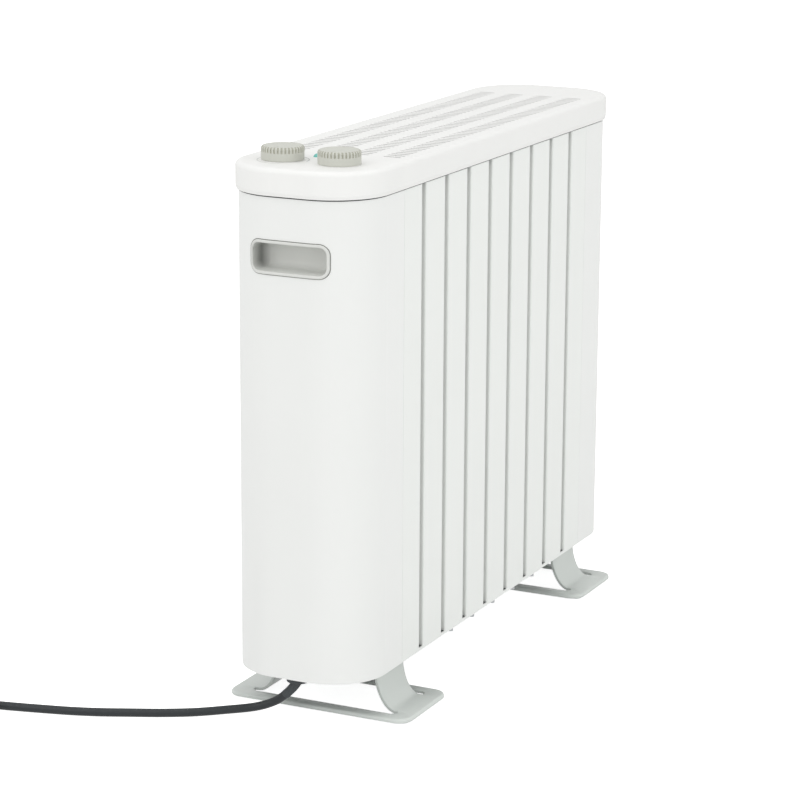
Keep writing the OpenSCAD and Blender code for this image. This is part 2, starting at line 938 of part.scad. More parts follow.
// Wing nuts under the feet's flanges
module wing_nuts() {
    seat = plate_z - foot_t;
    color(bare_steel)
        for (s = [-1, 1], y = stud_y)
            translate([foot_at(s), y, seat - wing_h - washer_h])
                difference() {
                    union() {
                        cylinder(r = stud_d / 2 + 2.2, h = wing_h + washer_h);
                        translate([0, 0, wing_h])
                            cylinder(r = stud_d / 2 + 4, h = washer_h);
                        for (a = [0, 180])
                            rotate([0, 0, a])
                                translate([stud_d / 2 + 1, -0.9, 0.5])
                                    cube([8, 1.8, 4.5]);
                    }
                    translate([0, 0, -1])
                        cylinder(r = stud_d / 2 + run_fit, h = wing_h + washer_h + 2);
                }
}

// Upright sheet across the heater with a foot on the base plate; turn is the foot's direction
module cross_sheet(x, half, top, foot_dir) {
    translate([x - bracket_t / 2, -half, plate_top])
        cube([bracket_t, 2 * half, top - plate_top]);
    translate([foot_dir > 0 ? x - bracket_t / 2 : x - sheet_foot, -half, plate_top])
        cube([sheet_foot + bracket_t / 2, 2 * half, bracket_t]);
}

module heat_shield() {
    color(bare_steel)
        difference() {
            cross_sheet(-shield_x, shield_half, shield_top, -1);
            translate([-shield_x - 2, -shield_hole, element_z + shield_hole])
                rotate([0, 90, 0])
                    cylinder(r = 6, h = 4);
            for (y = stud_y)
                translate([foot_at(-1) - stud_head_r - slip, y - stud_head_r - slip, plate_top - eps])
                    cube([2 * (stud_head_r + slip), 2 * (stud_head_r + slip), stud_head_h + slip]);
        }
}

// Finned aluminium element along X
module heating_element(z) {
    color(bright_aluminium)
        translate([0, 0, z])
            rotate([90, 0, 90]) {
                linear_extrude(element_l, center = true) {
                    circle(d = core_d);
                    for (a = [30, 90, 150])
                        rotate(a)
                            square([element_d, fin_t], center = true);
                }
                cylinder(r = rod_r, h = 2 * bracket_x + 18, center = true);
            }
}

module heating_element_lower() {
    heating_element(element_z);
}

module heating_element_upper() {
    heating_element(element_z + element_pitch);
}

module element_bracket(s) {
    color(bare_steel)
        ends(s)
            difference() {
                cross_sheet(bracket_x, bracket_half, element_z + element_pitch + bracket_over, -1);
                for (i = [0, 1])
                    translate([bracket_x - 2, 0, element_z + i * element_pitch])
                        rotate([0, 90, 0])
                            cylinder(r = bush_r + run_fit, h = 4);
            }
}

module element_bracket_near() {
    element_bracket(-1);
}

module element_bracket_far() {
    element_bracket(1);
}

module ceramic_bushes() {
    bush_l = 6;
    color(ceramic)
        for (s = [-1, 1], i = [0, 1])
            translate([s * bracket_x, 0, element_z + i * element_pitch])
                rotate([0, 90, 0])
                    difference() {
                        union() {
                            cylinder(r = bush_r, h = bush_l, center = true);
                            translate([0, 0, s > 0 ? bracket_t / 2 : -bracket_t / 2 - 2])
                                cylinder(r = bush_r + 3, h = 2);
                        }
                        cylinder(r = rod_r + run_fit, h = bush_l + 4, center = true);
                    }
}

module thermal_cutout() {
    color(bright_aluminium)
        translate([-shield_x + bracket_t / 2, 0, element_z + element_pitch + cutout_up])
            rotate([0, 90, 0])
                cylinder(r = 8, h = 9);
}

// Tip-over switch: frame with a fixed pin, and a pendulum that hangs on it
module tip_switch_frame() {
    cheek_w = 16;
    base_l = cheek_gap + 2 * cheek_t;
    color(bare_steel)
        translate([tip_x, tip_y, plate_top]) {
            translate([-base_l / 2, -cheek_w / 2, 0])
                cube([base_l, cheek_w, cheek_t]);
            for (s = [-1, 1])
                translate([s * (cheek_gap + cheek_t) / 2 - cheek_t / 2, -cheek_w / 2, 0])
                    cube([cheek_t, cheek_w, pin_z - plate_top + 6]);
            translate([0, 0, pin_z - plate_top])
                rotate([0, 90, 0])
                    cylinder(d = pin_d, h = base_l, center = true);
        }
}

module tip_pendulum() {
    arm_t = 4;
    color(dark_plastic)
        translate([tip_x, tip_y, pin_z])
            difference() {
                union() {
                    rotate([0, 90, 0])
                        cylinder(r = tip_hub_r, h = hub_l, center = true);
                    translate([-arm_t / 2, -arm_t / 2, -tip_l])
                        cube([arm_t, arm_t, tip_l]);
                    translate([0, 0, -tip_l])
                        rotate([0, 90, 0])
                            cylinder(d = tip_d, h = hub_l + 2, center = true);
                }
                rotate([0, 90, 0])
                    cylinder(d = pin_d + 2 * run_fit, h = hub_l + 2, center = true);
            }
}

module microswitch() {
    body = [6.4, 10, 20];
    color(dark_plastic)
        translate([tip_x + cheek_gap / 2 + cheek_t, tip_y - body[1] / 2, pin_z - body[2] - 6])
            cube(body);
}

module terminal_block() {
    color(ceramic)
        difference() {
            translate([block_x - block_size[0] / 2, block_y - block_size[1] / 2, plate_top])
                cube(block_size);
            for (i = [-1:1], s = [-1, 1])
                translate([block_x + i * 9, block_y + s * 5, plate_top + block_size[2] - 5])
                    cylinder(r = 2, h = 6);
        }
}

gland_neck_h = 6;
inner_z = plate_z + gland_neck_h;
lead_z = inner_z + cord_r;

module cord_clamp() {
    clamp_w = 9;
    clamp_x = gland_x;
    clamp_y = gland_y - 14;
    color(dark_plastic)
        difference() {
            translate([clamp_x - clamp_w / 2, clamp_y - clamp_w / 2, plate_top])
                cube([clamp_w, clamp_w, lead_z + cord_r - plate_top + 2]);
            translate([clamp_x, clamp_y - clamp_w, lead_z])
                rotate([-90, 0, 0])
                    cylinder(r = cord_r + run_fit, h = 2 * clamp_w);
        }
}

// The sheathed lead inside: up out of the gland, through the clamp and into the block
module inner_lead() {
    z = lead_z;
    y_turn = block_y;
    color(cord_black) {
        translate([gland_x, gland_y, inner_z])
            cylinder(r = cord_r, h = z - inner_z);
        translate([gland_x, gland_y, z])
            sphere(cord_r);
        translate([gland_x, y_turn, z])
            rotate([-90, 0, 0])
                cylinder(r = cord_r, h = gland_y - y_turn);
        translate([gland_x, y_turn, z])
            sphere(cord_r);
        translate([gland_x, y_turn, z])
            rotate([0, 90, 0])
                cylinder(r = cord_r, h = block_x - block_size[0] / 2 - gland_x);
    }
}

module wiring_loom() {
    loom_r = 3;
    low = plate_top + block_size[2];
    high = control_z - switch_h - spade_l - 6;
    color("#b8473a")
        translate([block_x, block_y, 0]) {
            translate([0, 0, low])
                cylinder(r = loom_r, h = high - low);
            translate([0, 0, high])
                sphere(loom_r);
            translate([0, 0, high])
                rotate([-90, 0, 0])
                    cylinder(r = loom_r, h = knob_y - block_y);
            translate([0, knob_y - block_y, high])
                sphere(loom_r);
            for (y = [-knob_y, knob_y])
                translate([-4, y - block_y, high])
                    cylinder(r = 1.5, h = 6);
        }
}

module screw_up(r, h_shank, head, h_head) {
    translate([0, 0, -h_head]) {
        cylinder(r = r, h = h_shank + h_head);
        cylinder(r = head, h = h_head);
    }
}

module panel_screws() {
    color(bare_steel)
        for (x = screw_x, s = [-1, 1])
            translate([x, s * (half_w - screw_in), casing_z])
                screw_up(screw_r, sheet + bracket_t + 3, head_r - 0.5, head_h);
}

module frame_screws() {
    color(bare_steel)
        for (p = frame_screw_places())
            translate([p[0], p[1], skirt_z])
                mirror([0, 0, 1])
                    screw_up(screw_r, cover_gap + sheet + 4, head_r - 0.5, 2);
}

module cover_screws() {
    color(bare_steel)
        for (x = boss_x, s = [-1, 1])
            translate([x, s * boss_y, ledge_z - ledge_t])
                screw_up(boss_bore, ledge_t + cover_grip, head_r, 2);
}

// Strain relief: a collar under the base plate and a tapered boot that bends outward
module cord_gland() {
    color(cord_black) {
        translate(gland_top)
            cylinder(r = gland_disc_r, h = plate_z - gland_top[2]);
        translate([gland_x, gland_y, plate_z - eps])
            cylinder(r = gland_neck_r, h = gland_neck_h + eps);
        difference() {
            translate(gland_top)
                rotate([boot_tilt[0] - 180, 0, 0])
                    translate([0, 0, -boot_r[0] / 2])
                        cylinder(r1 = boot_r[0], r2 = boot_r[1], h = boot_l[0] + boot_r[0] / 2);
            translate([gland_x - gland_disc_r, gland_y - gland_disc_r, gland_top[2] + eps])
                cube(2 * gland_disc_r);
        }
        translate(gland_bend) {
            sphere(boot_r[1]);
            rotate([boot_tilt[1] - 180, 0, 0])
                cylinder(r1 = boot_r[1], r2 = boot_r[2], h = boot_l[1]);
        }
    }
}

// Tube of round section along a path, as one closed mesh
function unit(v) = v / norm(v);
function tangents(path) = [for (i = [0:len(path) - 1])
    unit(path[min(i + 1, len(path) - 1)] - path[max(i - 1, 0)])];

module tube(path, r, sides, t0, t1) {
    n = len(path);
    raw = tangents(path);
    t = [for (i = [0:n - 1]) i == 0 ? t0 : i == n - 1 ? t1 : raw[i]];
    rings = [for (i = [0:n - 1])
        let (side = unit(cross([0, 0, 1], t[i])), up = cross(t[i], side))
        for (k = [0:sides - 1])
            path[i] + r * (side * sin(360 * (k + 0.5) / sides) - up * cos(360 * (k + 0.5) / sides))];
    faces = join([[[for (k = [0:sides - 1]) k]],
                  [for (i = [0:n - 2], k = [0:sides - 1])
                      let (a = i * sides + k, b = i * sides + (k + 1) % sides)
                      [a, a + sides, b + sides]],
                  [for (i = [0:n - 2], k = [0:sides - 1])
                      let (a = i * sides + k, b = i * sides + (k + 1) % sides)
                      [a, b + sides, b]],
                  [[for (k = [sides - 1:-1:0]) (n - 1) * sides + k]]]);
    polyhedron(rings, faces, convexity = 10);
}

module power_cord() {
    exit_way = [0, sin(boot_tilt[1]), -cos(boot_tilt[1])];
    color(cord_black)
        tube(cord_route, cord_r, 10, exit_way, [0, 1, 0]);
}

// The coil: in along the floor, up a layer in half a turn, out again, then to the plug
coil_a1 = 360 * coil_turns;
coil_a2 = coil_a1 + 180;
coil_a3 = coil_a2 + 360 * coil_turns;
coil_small = coil_r - coil_step * coil_turns;
rise_len = rise_before * PI / 180 * coil_r + tail_turn * PI / 180 * tail_r;

function ease(u) = u <= 0 ? 0 : u >= 1 ? 1 : u * u * (3 - 2 * u);
function coil_point(a) =
    let (r = a < coil_a1 ? coil_r - coil_step * a / 360
           : a < coil_a2 ? coil_small - coil_step * (a - coil_a1) / 360 * (coil_a2 - a) / 180
           : coil_small + coil_step * (a - coil_a2) / 360,
         lift = coil_step * ease((a - coil_a1) / 180),
         s = (a - coil_a3 + rise_before) * PI / 180 * coil_r)
    [coil_c[0] + r * cos(a), coil_c[1] + r * sin(a), cord_r + lift + tail_rise * ease(s / rise_len)];
function tail_point(a) =
    let (s = rise_before * PI / 180 * coil_r + a * PI / 180 * tail_r)
    [coil_c[0] + coil_r - tail_r + tail_r * cos(a), coil_c[1] + tail_r * sin(a),
     cord_r + coil_step + tail_rise * ease(s / rise_len)];

ring_step = 15;
plug_entry = tail_point(tail_turn) - [coil_lead, 0, 0];
coil_path = join([[coil_start],
                  [for (a = [0:ring_step:coil_a3 - eps]) coil_point(a)],
                  [for (a = [0:ring_step * 1.5:tail_turn]) tail_point(a)],
                  [plug_entry]]);

function path_len(p) = [for (i = 1, s = 0; i <= len(p); s = s + (i < len(p) ? norm(p[i] - p[i - 1]) : 0),
                             i = i + 1) s][len(p) - 1];
// Least distance between points of the coil that are over one ring's turn apart
function coil_gap(p) = min([for (i = [0:len(p) - 1], j = [0:len(p) - 1])
    if (j > i + 5 && norm(p[i] - p[j]) > 0) norm(p[i] - p[j]) - cord_d]);

module cord_coil() {
    echo(coil_least_gap = coil_gap(fine_path()));
    echo(cord_length = path_len(cord_route) + path_len(coil_path));
    color(cord_black)
        tube(coil_path, cord_r, 6, [0, 1, 0], [-1, 0, 0]);
}

function fine_path() = join([[for (a = [0:5:coil_a3 - eps]) coil_point(a)],
                             [for (a = [0:5:tail_turn]) tail_point(a)]]);

// Angled plug lying on the coil with its pins up, pointing to -X
plug_base = coil_step + cord_d + slip;
grip_l = 20;
plug_c = [plug_entry[0] - grip_l - plug_d / 2 + 4, plug_entry[1], plug_base];
pin_half = 9.5;
pin_root = 6;

module mains_plug() {
    grip_r = 6.4;
    color(cord_black)
        difference() {
            union() {
                translate(plug_c)
                    rotate_extrude()
                        edge_profile(plug_d / 2, plug_t, 2, 0, 0);
                translate(plug_entry)
                    rotate([0, -90, 0]) {
                        cylinder(r1 = cord_r + 1.2, r2 = grip_r, h = grip_l);
                        translate([0, 0, grip_l - eps])
                            cylinder(r = grip_r, h = 8);
                    }
            }
            for (s = [-1, 1])
                translate(plug_c + [0, s * pin_half, plug_t - pin_root])
                    cylinder(d = plug_pin_d, h = pin_root + 2);
        }
}

module plug_pins() {
    tip = 1.2;
    color(bright_aluminium)
        for (s = [-1, 1])
            translate(plug_c + [0, s * pin_half, plug_t - pin_root]) {
                cylinder(d = plug_pin_d, h = plug_pin_l + pin_root - tip);
                translate([0, 0, plug_pin_l + pin_root - tip - eps])
                    cylinder(d1 = plug_pin_d, d2 = plug_pin_d - 2 * tip, h = tip);
            }
}

near_end_shell();
far_end_shell();
front_panel();
rear_panel();
base_plate();
top_frame();
top_cover();
handle_cup_near();
handle_cup_far();
thermostat_knob();
thermostat_shaft();
thermostat();
power_knob();
switch_shaft();
power_switch();
bush_nuts();
control_bracket();
indicator_lens();
indicator_lamp();
foot_near();
foot_far();
foot_pads();
foot_studs();
wing_nuts();
heat_shield();
heating_element_lower();
heating_element_upper();
element_bracket_near();
element_bracket_far();
ceramic_bushes();
thermal_cutout();
tip_switch_frame();
tip_pendulum();
microswitch();
terminal_block();
cord_clamp();
inner_lead();
wiring_loom();
panel_screws();
frame_screws();
cover_screws();
cord_gland();
power_cord();
cord_coil();
mains_plug();
plug_pins();
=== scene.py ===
"""Looks of the oil-free radiator heater: studio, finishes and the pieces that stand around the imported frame."""

import json
import logging
import math
from dataclasses import dataclass
from enum import Enum
from typing import ClassVar, Iterable, Sequence

import bmesh
import bpy
from mathutils import Matrix, Vector


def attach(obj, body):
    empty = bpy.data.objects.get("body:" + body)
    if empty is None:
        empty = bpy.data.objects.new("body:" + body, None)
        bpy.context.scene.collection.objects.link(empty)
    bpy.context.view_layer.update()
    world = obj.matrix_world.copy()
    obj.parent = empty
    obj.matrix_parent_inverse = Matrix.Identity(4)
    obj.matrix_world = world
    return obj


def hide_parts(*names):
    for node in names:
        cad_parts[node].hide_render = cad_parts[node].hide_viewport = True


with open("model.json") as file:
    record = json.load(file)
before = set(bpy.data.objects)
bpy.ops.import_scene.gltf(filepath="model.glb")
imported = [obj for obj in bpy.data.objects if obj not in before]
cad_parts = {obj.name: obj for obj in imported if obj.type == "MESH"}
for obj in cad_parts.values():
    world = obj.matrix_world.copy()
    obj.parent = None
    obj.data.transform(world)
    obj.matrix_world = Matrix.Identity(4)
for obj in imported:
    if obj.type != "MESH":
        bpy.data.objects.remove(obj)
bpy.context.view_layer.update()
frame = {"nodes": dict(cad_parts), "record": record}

log = logging.getLogger("radiator")
MM = 0.001
ROOT_BODY = "heater"
AXIS_X, AXIS_Y, AXIS_Z = Vector((1, 0, 0)), Vector((0, 1, 0)), Vector((0, 0, 1))
MIX_FIRST, MIX_SECOND, MIX_RESULT = 6, 7, 2  # the sockets for colours of a Mix node
WHITE = (1.0, 1.0, 1.0, 1.0)
Flat = tuple[float, float]
Triple = tuple[float, float, float]
Colour = tuple[float, float, float, float]
Socket = bpy.types.NodeSocket
Tree = bpy.types.NodeTree
Piece = bpy.types.Object


# ---- nodes


def add_node(tree: Tree, kind: str, inputs: dict | None = None, **settings: str) -> bpy.types.Node:
    """Adds a node to the tree of a material or a world.

    Args:
        tree: where the node goes.
        kind: its type, without the words ShaderNode before it.
        inputs: by name or number, an output to link or a constant to write.
        settings: the node's own options.

    Returns:
        The new node.
    """
    node = tree.nodes.new(f"ShaderNode{kind}")
    for key, value in settings.items():
        setattr(node, key, value)
    for key, value in (inputs or {}).items():
        if isinstance(value, Socket):
            tree.links.new(value, node.inputs[key])
        else:
            node.inputs[key].default_value = value
    return node


def combined(tree: Tree, operation: str, *terms: Socket) -> Socket:
    """Returns the result of an operation on one or two values."""
    return add_node(tree, "Math", dict(enumerate(terms)), operation=operation).outputs[0]


def seen(tree: Tree) -> Socket:
    """Returns 1 for rays from the camera, off gloss or through glass, and 0 for light."""
    path = add_node(tree, "LightPath")
    total = path.outputs["Is Camera Ray"]
    for key in ("Is Glossy Ray", "Is Transmission Ray"):
        total = combined(tree, "MAXIMUM", total, path.outputs[key])
    return total


# ---- finishes


@dataclass(frozen=True)
class Tint:
    """A colour as a screen shows it, each part from 0 to 255."""

    red: float
    green: float
    blue: float

    def linear(self, factor: float = 1.0) -> Colour:
        """Returns the colour in linear light, by the sRGB curve, darker or lighter by factor."""
        parts = [min(255.0, c * factor) / 255 for c in (self.red, self.green, self.blue)]
        red, green, blue = (c / 12.92 if c <= 0.04045 else ((c + 0.055) / 1.055) ** 2.4 for c in parts)
        return (red, green, blue, 1.0)


class Graph:
    """A material's node tree while a finish builds it."""

    def __init__(self, name: str) -> None:
        """Starts a material of this name with its plain shader."""
        self.material = bpy.data.materials.new(name)
        self.material.use_nodes = True
        self.tree = self.material.node_tree
        self.surface = self.tree.nodes["Principled BSDF"]
        self.place = self.output("TexCoord", "Object")
        self.relief: Socket | None = None

    def output(self, kind: str, key: str | int, inputs: dict | None = None, **settings: str) -> Socket:
        """Adds a node as add_node does and returns its output by name or number."""
        return add_node(self.tree, kind, inputs, **settings).outputs[key]

    def set(self, **values: float | tuple) -> None:
        """Writes constant values on the shader's own sockets; underscores stand for spaces."""
        for key, value in values.items():
            self.surface.inputs[key.replace("_", " ")].default_value = value

    def drive(self, key: str, source: Socket) -> None:
        """Links source to one of the shader's own sockets."""
        self.tree.links.new(source, self.surface.inputs[key])

    def axis(self, name: str) -> Socket:
        """Returns one of the object's three coordinates."""
        return self.output("SeparateXYZ", name, {"Vector": self.place})

    def stretched(self, scale: Triple) -> Socket:
        """Returns the object's coordinates, stretched by scale on each axis."""
        return self.output("Mapping", "Vector", {"Vector": self.place, "Scale": scale})

    def noise(self, per_metre: float, detail: float, place: Socket | None = None) -> Socket:
        """Returns noise with so many blotches in a metre and octaves of detail, by the object's own place."""
        inputs = {"Vector": place or self.place, "Scale": per_metre, "Detail": detail}
        return self.output("TexNoise", "Fac", inputs)

    def cells(self, per_metre: float) -> Socket:
        """Returns the distance to the nearest of scattered points, per_metre of them in a metre."""
        return self.output("TexVoronoi", "Distance", {"Vector": self.place, "Scale": per_metre})

    def ranged(self, source: Socket, low: float, high: float, start: float = 0.3, stop: float = 0.7) -> Socket:
        """Returns source carried from start..stop to low..high."""
        inputs = {"Value": source, "From Min": start, "From Max": stop, "To Min": low, "To Max": high}
        return self.output("MapRange", "Result", inputs)

    def colour(self, source: Socket, first: Socket | Colour, second: Colour, blend: str = "MIX") -> None:
        """Colours the surface by blending two colours by source."""
        inputs = {"Factor": source, MIX_FIRST: first, MIX_SECOND: second}
        self.drive("Base Color", self.output("Mix", MIX_RESULT, inputs, data_type="RGBA", blend_type=blend))

    def shade(self, source: Socket, factor: float) -> None:
        """Darkens the colour that is there already by factor where source is 1."""
        present = self.surface.inputs["Base Color"].links[0].from_socket
        self.colour(source, present, Tint(255, 255, 255).linear(factor), "MULTIPLY")

    def bump(self, source: Socket, depth: float, strength: float) -> None:
        """Adds relief of the given depth in metres over what is there already."""
        inputs = {"Height": source, "Distance": depth, "Strength": strength}
        if self.relief is not None:
            inputs["Normal"] = self.relief
        self.relief = self.output("Bump", "Normal", inputs)
        self.drive("Normal", self.relief)


@dataclass(frozen=True)
class Finish:
    """What every finish has: a name, a tint, how rough it is, and how far tint and roughness wander."""

    name: str
    tint: Tint
    roughness: float
    shades: ClassVar[Flat]
    spread: ClassVar[Flat]

    def dress(self, graph: Graph) -> None:
        """Fills the graph in; each kind of finish has its own way."""
        raise NotImplementedError

    def wander(self, graph: Graph, tone: Socket, gloss: Socket) -> None:
        """Lets the tint wander between its shades by tone, and the roughness over its spread by gloss."""
        graph.colour(tone, *(self.tint.linear(shade) for shade in self.shades))
        graph.drive("Roughness", graph.ranged(gloss, *(self.roughness + off for off in self.spread)))

    def material(self) -> bpy.types.Material:
        """Returns the finish as a material, made once."""
        made = bpy.data.materials.get(self.name)
        if made is None:
            graph = Graph(self.name)
            graph.set(Base_Color=self.tint.linear(), Roughness=self.roughness)
            self.dress(graph)
            made = graph.material
        return made


@dataclass(frozen=True)
class PowderCoat(Finish):
    """Baked powder paint on sheet: a fine orange peel with faint clouds of tone."""

    peel_per_metre: float = 620.0
    peel_depth: float = 0.00005
    shades: ClassVar[Flat] = (0.988, 1.008)
    spread: ClassVar[Flat] = (-0.05, 0.06)

    def dress(self, graph: Graph) -> None:
        """Adds clouds, an uneven gloss and the orange peel."""
        self.wander(graph, graph.noise(9.0, 4.0), graph.noise(70.0, 3.0))
        graph.bump(graph.noise(self.peel_per_metre, 2.0), self.peel_depth, 0.35)
        graph.bump(graph.noise(self.peel_per_metre * 5, 2.0), self.peel_depth * 0.25, 0.25)


@dataclass(frozen=True)
class GroovedCoat(PowderCoat):
    """The same paint on a grooved panel, greyed down in the grooves by painted shade."""

    face: float = 0.062
    mouth: float = 0.0008
    floor: float = 0.0042
    painted_groove_shade: float = 0.86

    def dress(self, graph: Graph) -> None:
        """Adds the paint, then greys it with painted shade by how deep it lies behind the panel's face."""
        super().dress(graph)
        away = combined(graph.tree, "ABSOLUTE", graph.axis("Y"))
        depth = graph.ranged(away, 1.0, 0.0, self.face - self.floor, self.face - self.mouth)
        # painted shade: greys the paint by its depth in the grooves
        graph.shade(depth, self.painted_groove_shade)


@dataclass(frozen=True)
class Moulding(Finish):
    """Moulded plastic with a spark-eroded grain and faint flow marks."""

    grain_per_metre: float = 1500.0
    grain_depth: float = 0.00003
    flow_stretch: Triple = (1.0, 3.0, 1.0)
    shades: ClassVar[Flat] = (0.985, 1.01)
    spread: ClassVar[Flat] = (-0.04, 0.05)

    def dress(self, graph: Graph) -> None:
        """Adds flow marks, an uneven sheen and the grain."""
        flow = graph.noise(14.0, 3.0, graph.stretched(self.flow_stretch))
        self.wander(graph, flow, graph.noise(160.0, 3.0))
        graph.bump(graph.cells(self.grain_per_metre), self.grain_depth, 0.4)
        graph.bump(graph.noise(self.grain_per_metre * 0.3, 2.0), self.grain_depth, 0.2)


@dataclass(frozen=True)
class PocketMoulding(Moulding):
    """The same plastic in a deep pocket, with painted shade that darkens it towards its back corner at the rear,
    where little light comes.
    """

    mouth: float = 0.265
    floor: float = 0.25
    corner_start: float = 0.0255
    corner_stop: float = 0.0335
    painted_corner_shade: float = 0.42

    def dress(self, graph: Graph) -> None:
        """Adds the plastic, then painted shade by depth and by nearness to the corner."""
        super().dress(graph)
        away = combined(graph.tree, "ABSOLUTE", graph.axis("X"))
        depth = graph.ranged(away, 1.0, 0.0, self.floor, self.mouth)
        side = graph.ranged(graph.axis("Y"), 0.0, 1.0, self.corner_start, self.corner_stop)
        # painted shade: darkens the pocket's plastic by depth and towards its rear corner
        graph.shade(combined(graph.tree, "MULTIPLY", depth, side), self.painted_corner_shade)


@dataclass(frozen=True)
class BareMetal(Finish):
    """Metal with drawn or brushed streaks along one axis and handled patches."""

    streak: Triple = (40.0, 900.0, 900.0)
    shades: ClassVar[Flat] = (0.93, 1.04)
    spread: ClassVar[Flat] = (-0.08, 0.12)

    def dress(self, graph: Graph) -> None:
        """Adds streaks in relief and gloss, and cloudy patches."""
        graph.set(Metallic=1.0)
        lines = graph.noise(1.0, 4.0, graph.stretched(self.streak))
        self.wander(graph, graph.noise(45.0, 3.0), lines)
        graph.bump(lines, 0.00003, 0.35)


@dataclass(frozen=True)
class Rubber(Finish):
    """Soft rubber or sheath: dull, finely pitted, a little dusty."""

    pits_per_metre: float = 2600.0
    shades: ClassVar[Flat] = (0.93, 1.1)
    spread: ClassVar[Flat] = (-0.06, 0.08)

    def dress(self, graph: Graph) -> None:
        """Adds dust, uneven sheen and pits."""
        self.wander(graph, graph.noise(120.0, 4.0), graph.noise(400.0, 2.0))
        graph.bump(graph.noise(self.pits_per_metre, 2.0), 0.00004, 0.4)


@dataclass(frozen=True)
class Ceramic(Finish):
    """Unglazed steatite: warm white with pores."""

    shades: ClassVar[Flat] = (0.94, 1.02)
    spread: ClassVar[Flat] = (-0.05, 0.1)

    def dress(self, graph: Graph) -> None:
        """Adds blotches and pores."""
        self.wander(graph, graph.noise(220.0, 4.0), graph.noise(300.0, 2.0))
        graph.bump(graph.cells(1400.0), 0.00005, 0.5)


@dataclass(frozen=True)
class ClearMoulding(Finish):
    """Tinted clear plastic or glass of a lamp."""

    clearness: float = 0.4
    shades: ClassVar[Flat] = (0.95, 1.06)
    spread: ClassVar[Flat] = (0.0, 0.08)

    def dress(self, graph: Graph) -> None:
        """Lets light through and adds small waves."""
        graph.set(Transmission_Weight=self.clearness, IOR=1.49, Coat_Weight=0.3, Coat_Roughness=0.08)
        self.wander(graph, graph.noise(300.0, 2.0), graph.noise(500.0, 2.0))
        graph.bump(graph.noise(700.0, 1.0), 0.00003, 0.2)


FINISHES: dict[str, Finish] = {
    "white_powder_coat": PowderCoat("casing_paint", Tint(238, 239, 237), 0.36),
    "white_moulding": Moulding("cover_plastic", Tint(241, 241, 239), 0.58),
    # the cup's plastic, with painted shade deep in its pocket
    "grey_moulding": PocketMoulding("cup_plastic", Tint(218, 219, 215), 0.42),
    "warm_grey_moulding": Moulding("knob_plastic", Tint(200, 201, 192), 0.5),
    "grey_powder_coat": PowderCoat("foot_paint", Tint(212, 217, 213), 0.4, 700.0),
    "dark_sheet_steel": PowderCoat("tray_paint", Tint(96, 100, 101), 0.6),
    "dark_moulding": Moulding("dark_plastic", Tint(62, 66, 67), 0.55),
    "zinc_plated_steel": BareMetal("zinc_plate", Tint(186, 189, 190), 0.34, (300.0, 300.0, 300.0)),
    "bare_aluminium": BareMetal("drawn_aluminium", Tint(206, 208, 210), 0.3),
    "ceramic_white": Ceramic("steatite", Tint(232, 226, 212), 0.7),
    "teal_lens": ClearMoulding("teal_lens", Tint(150, 194, 206), 0.12, 0.1),
    "neon_lamp": ClearMoulding("neon_glass", Tint(240, 160, 105), 0.05, 0.75),
    "grey_rubber": Rubber("pad_rubber", Tint(176, 180, 176), 0.62),
    "black_rubber": Rubber("black_rubber", Tint(38, 41, 41), 0.6),
    "grey_cord_sheath": Rubber("lead_sheath", Tint(32, 37, 40), 0.5, 1800.0),
    "wire_red": Moulding("wire_sleeve", Tint(188, 64, 50), 0.45),
    "nickel_pin": BareMetal("nickel_plate", Tint(214, 210, 202), 0.16, (200.0, 200.0, 200.0)),
}
# the panels' paint, with painted shade inside the grooves
PANEL_PAINT = GroovedCoat("panel_paint", Tint(238, 240, 237), 0.36)
# painted shadow: the dark tint of the thin ring that stands for the shadow line round the handle's rim
CUP_SHADOW_LINE = Rubber("cup_shadow_line", Tint(118, 119, 114), 0.7)
# painted shade: a darker tint for the knobs' flutes
FLUTE_SHADE_PLASTIC = Moulding("flute_shade_plastic", Tint(184, 184, 171), 0.7)
SCALE_INK = Moulding("scale_ink", Tint(196, 198, 196), 0.5)


# ---- meshes


def placed(name: str, data: bpy.types.ID) -> Piece:
    """Returns a new object with this data, linked into the scene."""
    made = bpy.data.objects.new(name, data)
    bpy.context.scene.collection.objects.link(made)
    return made


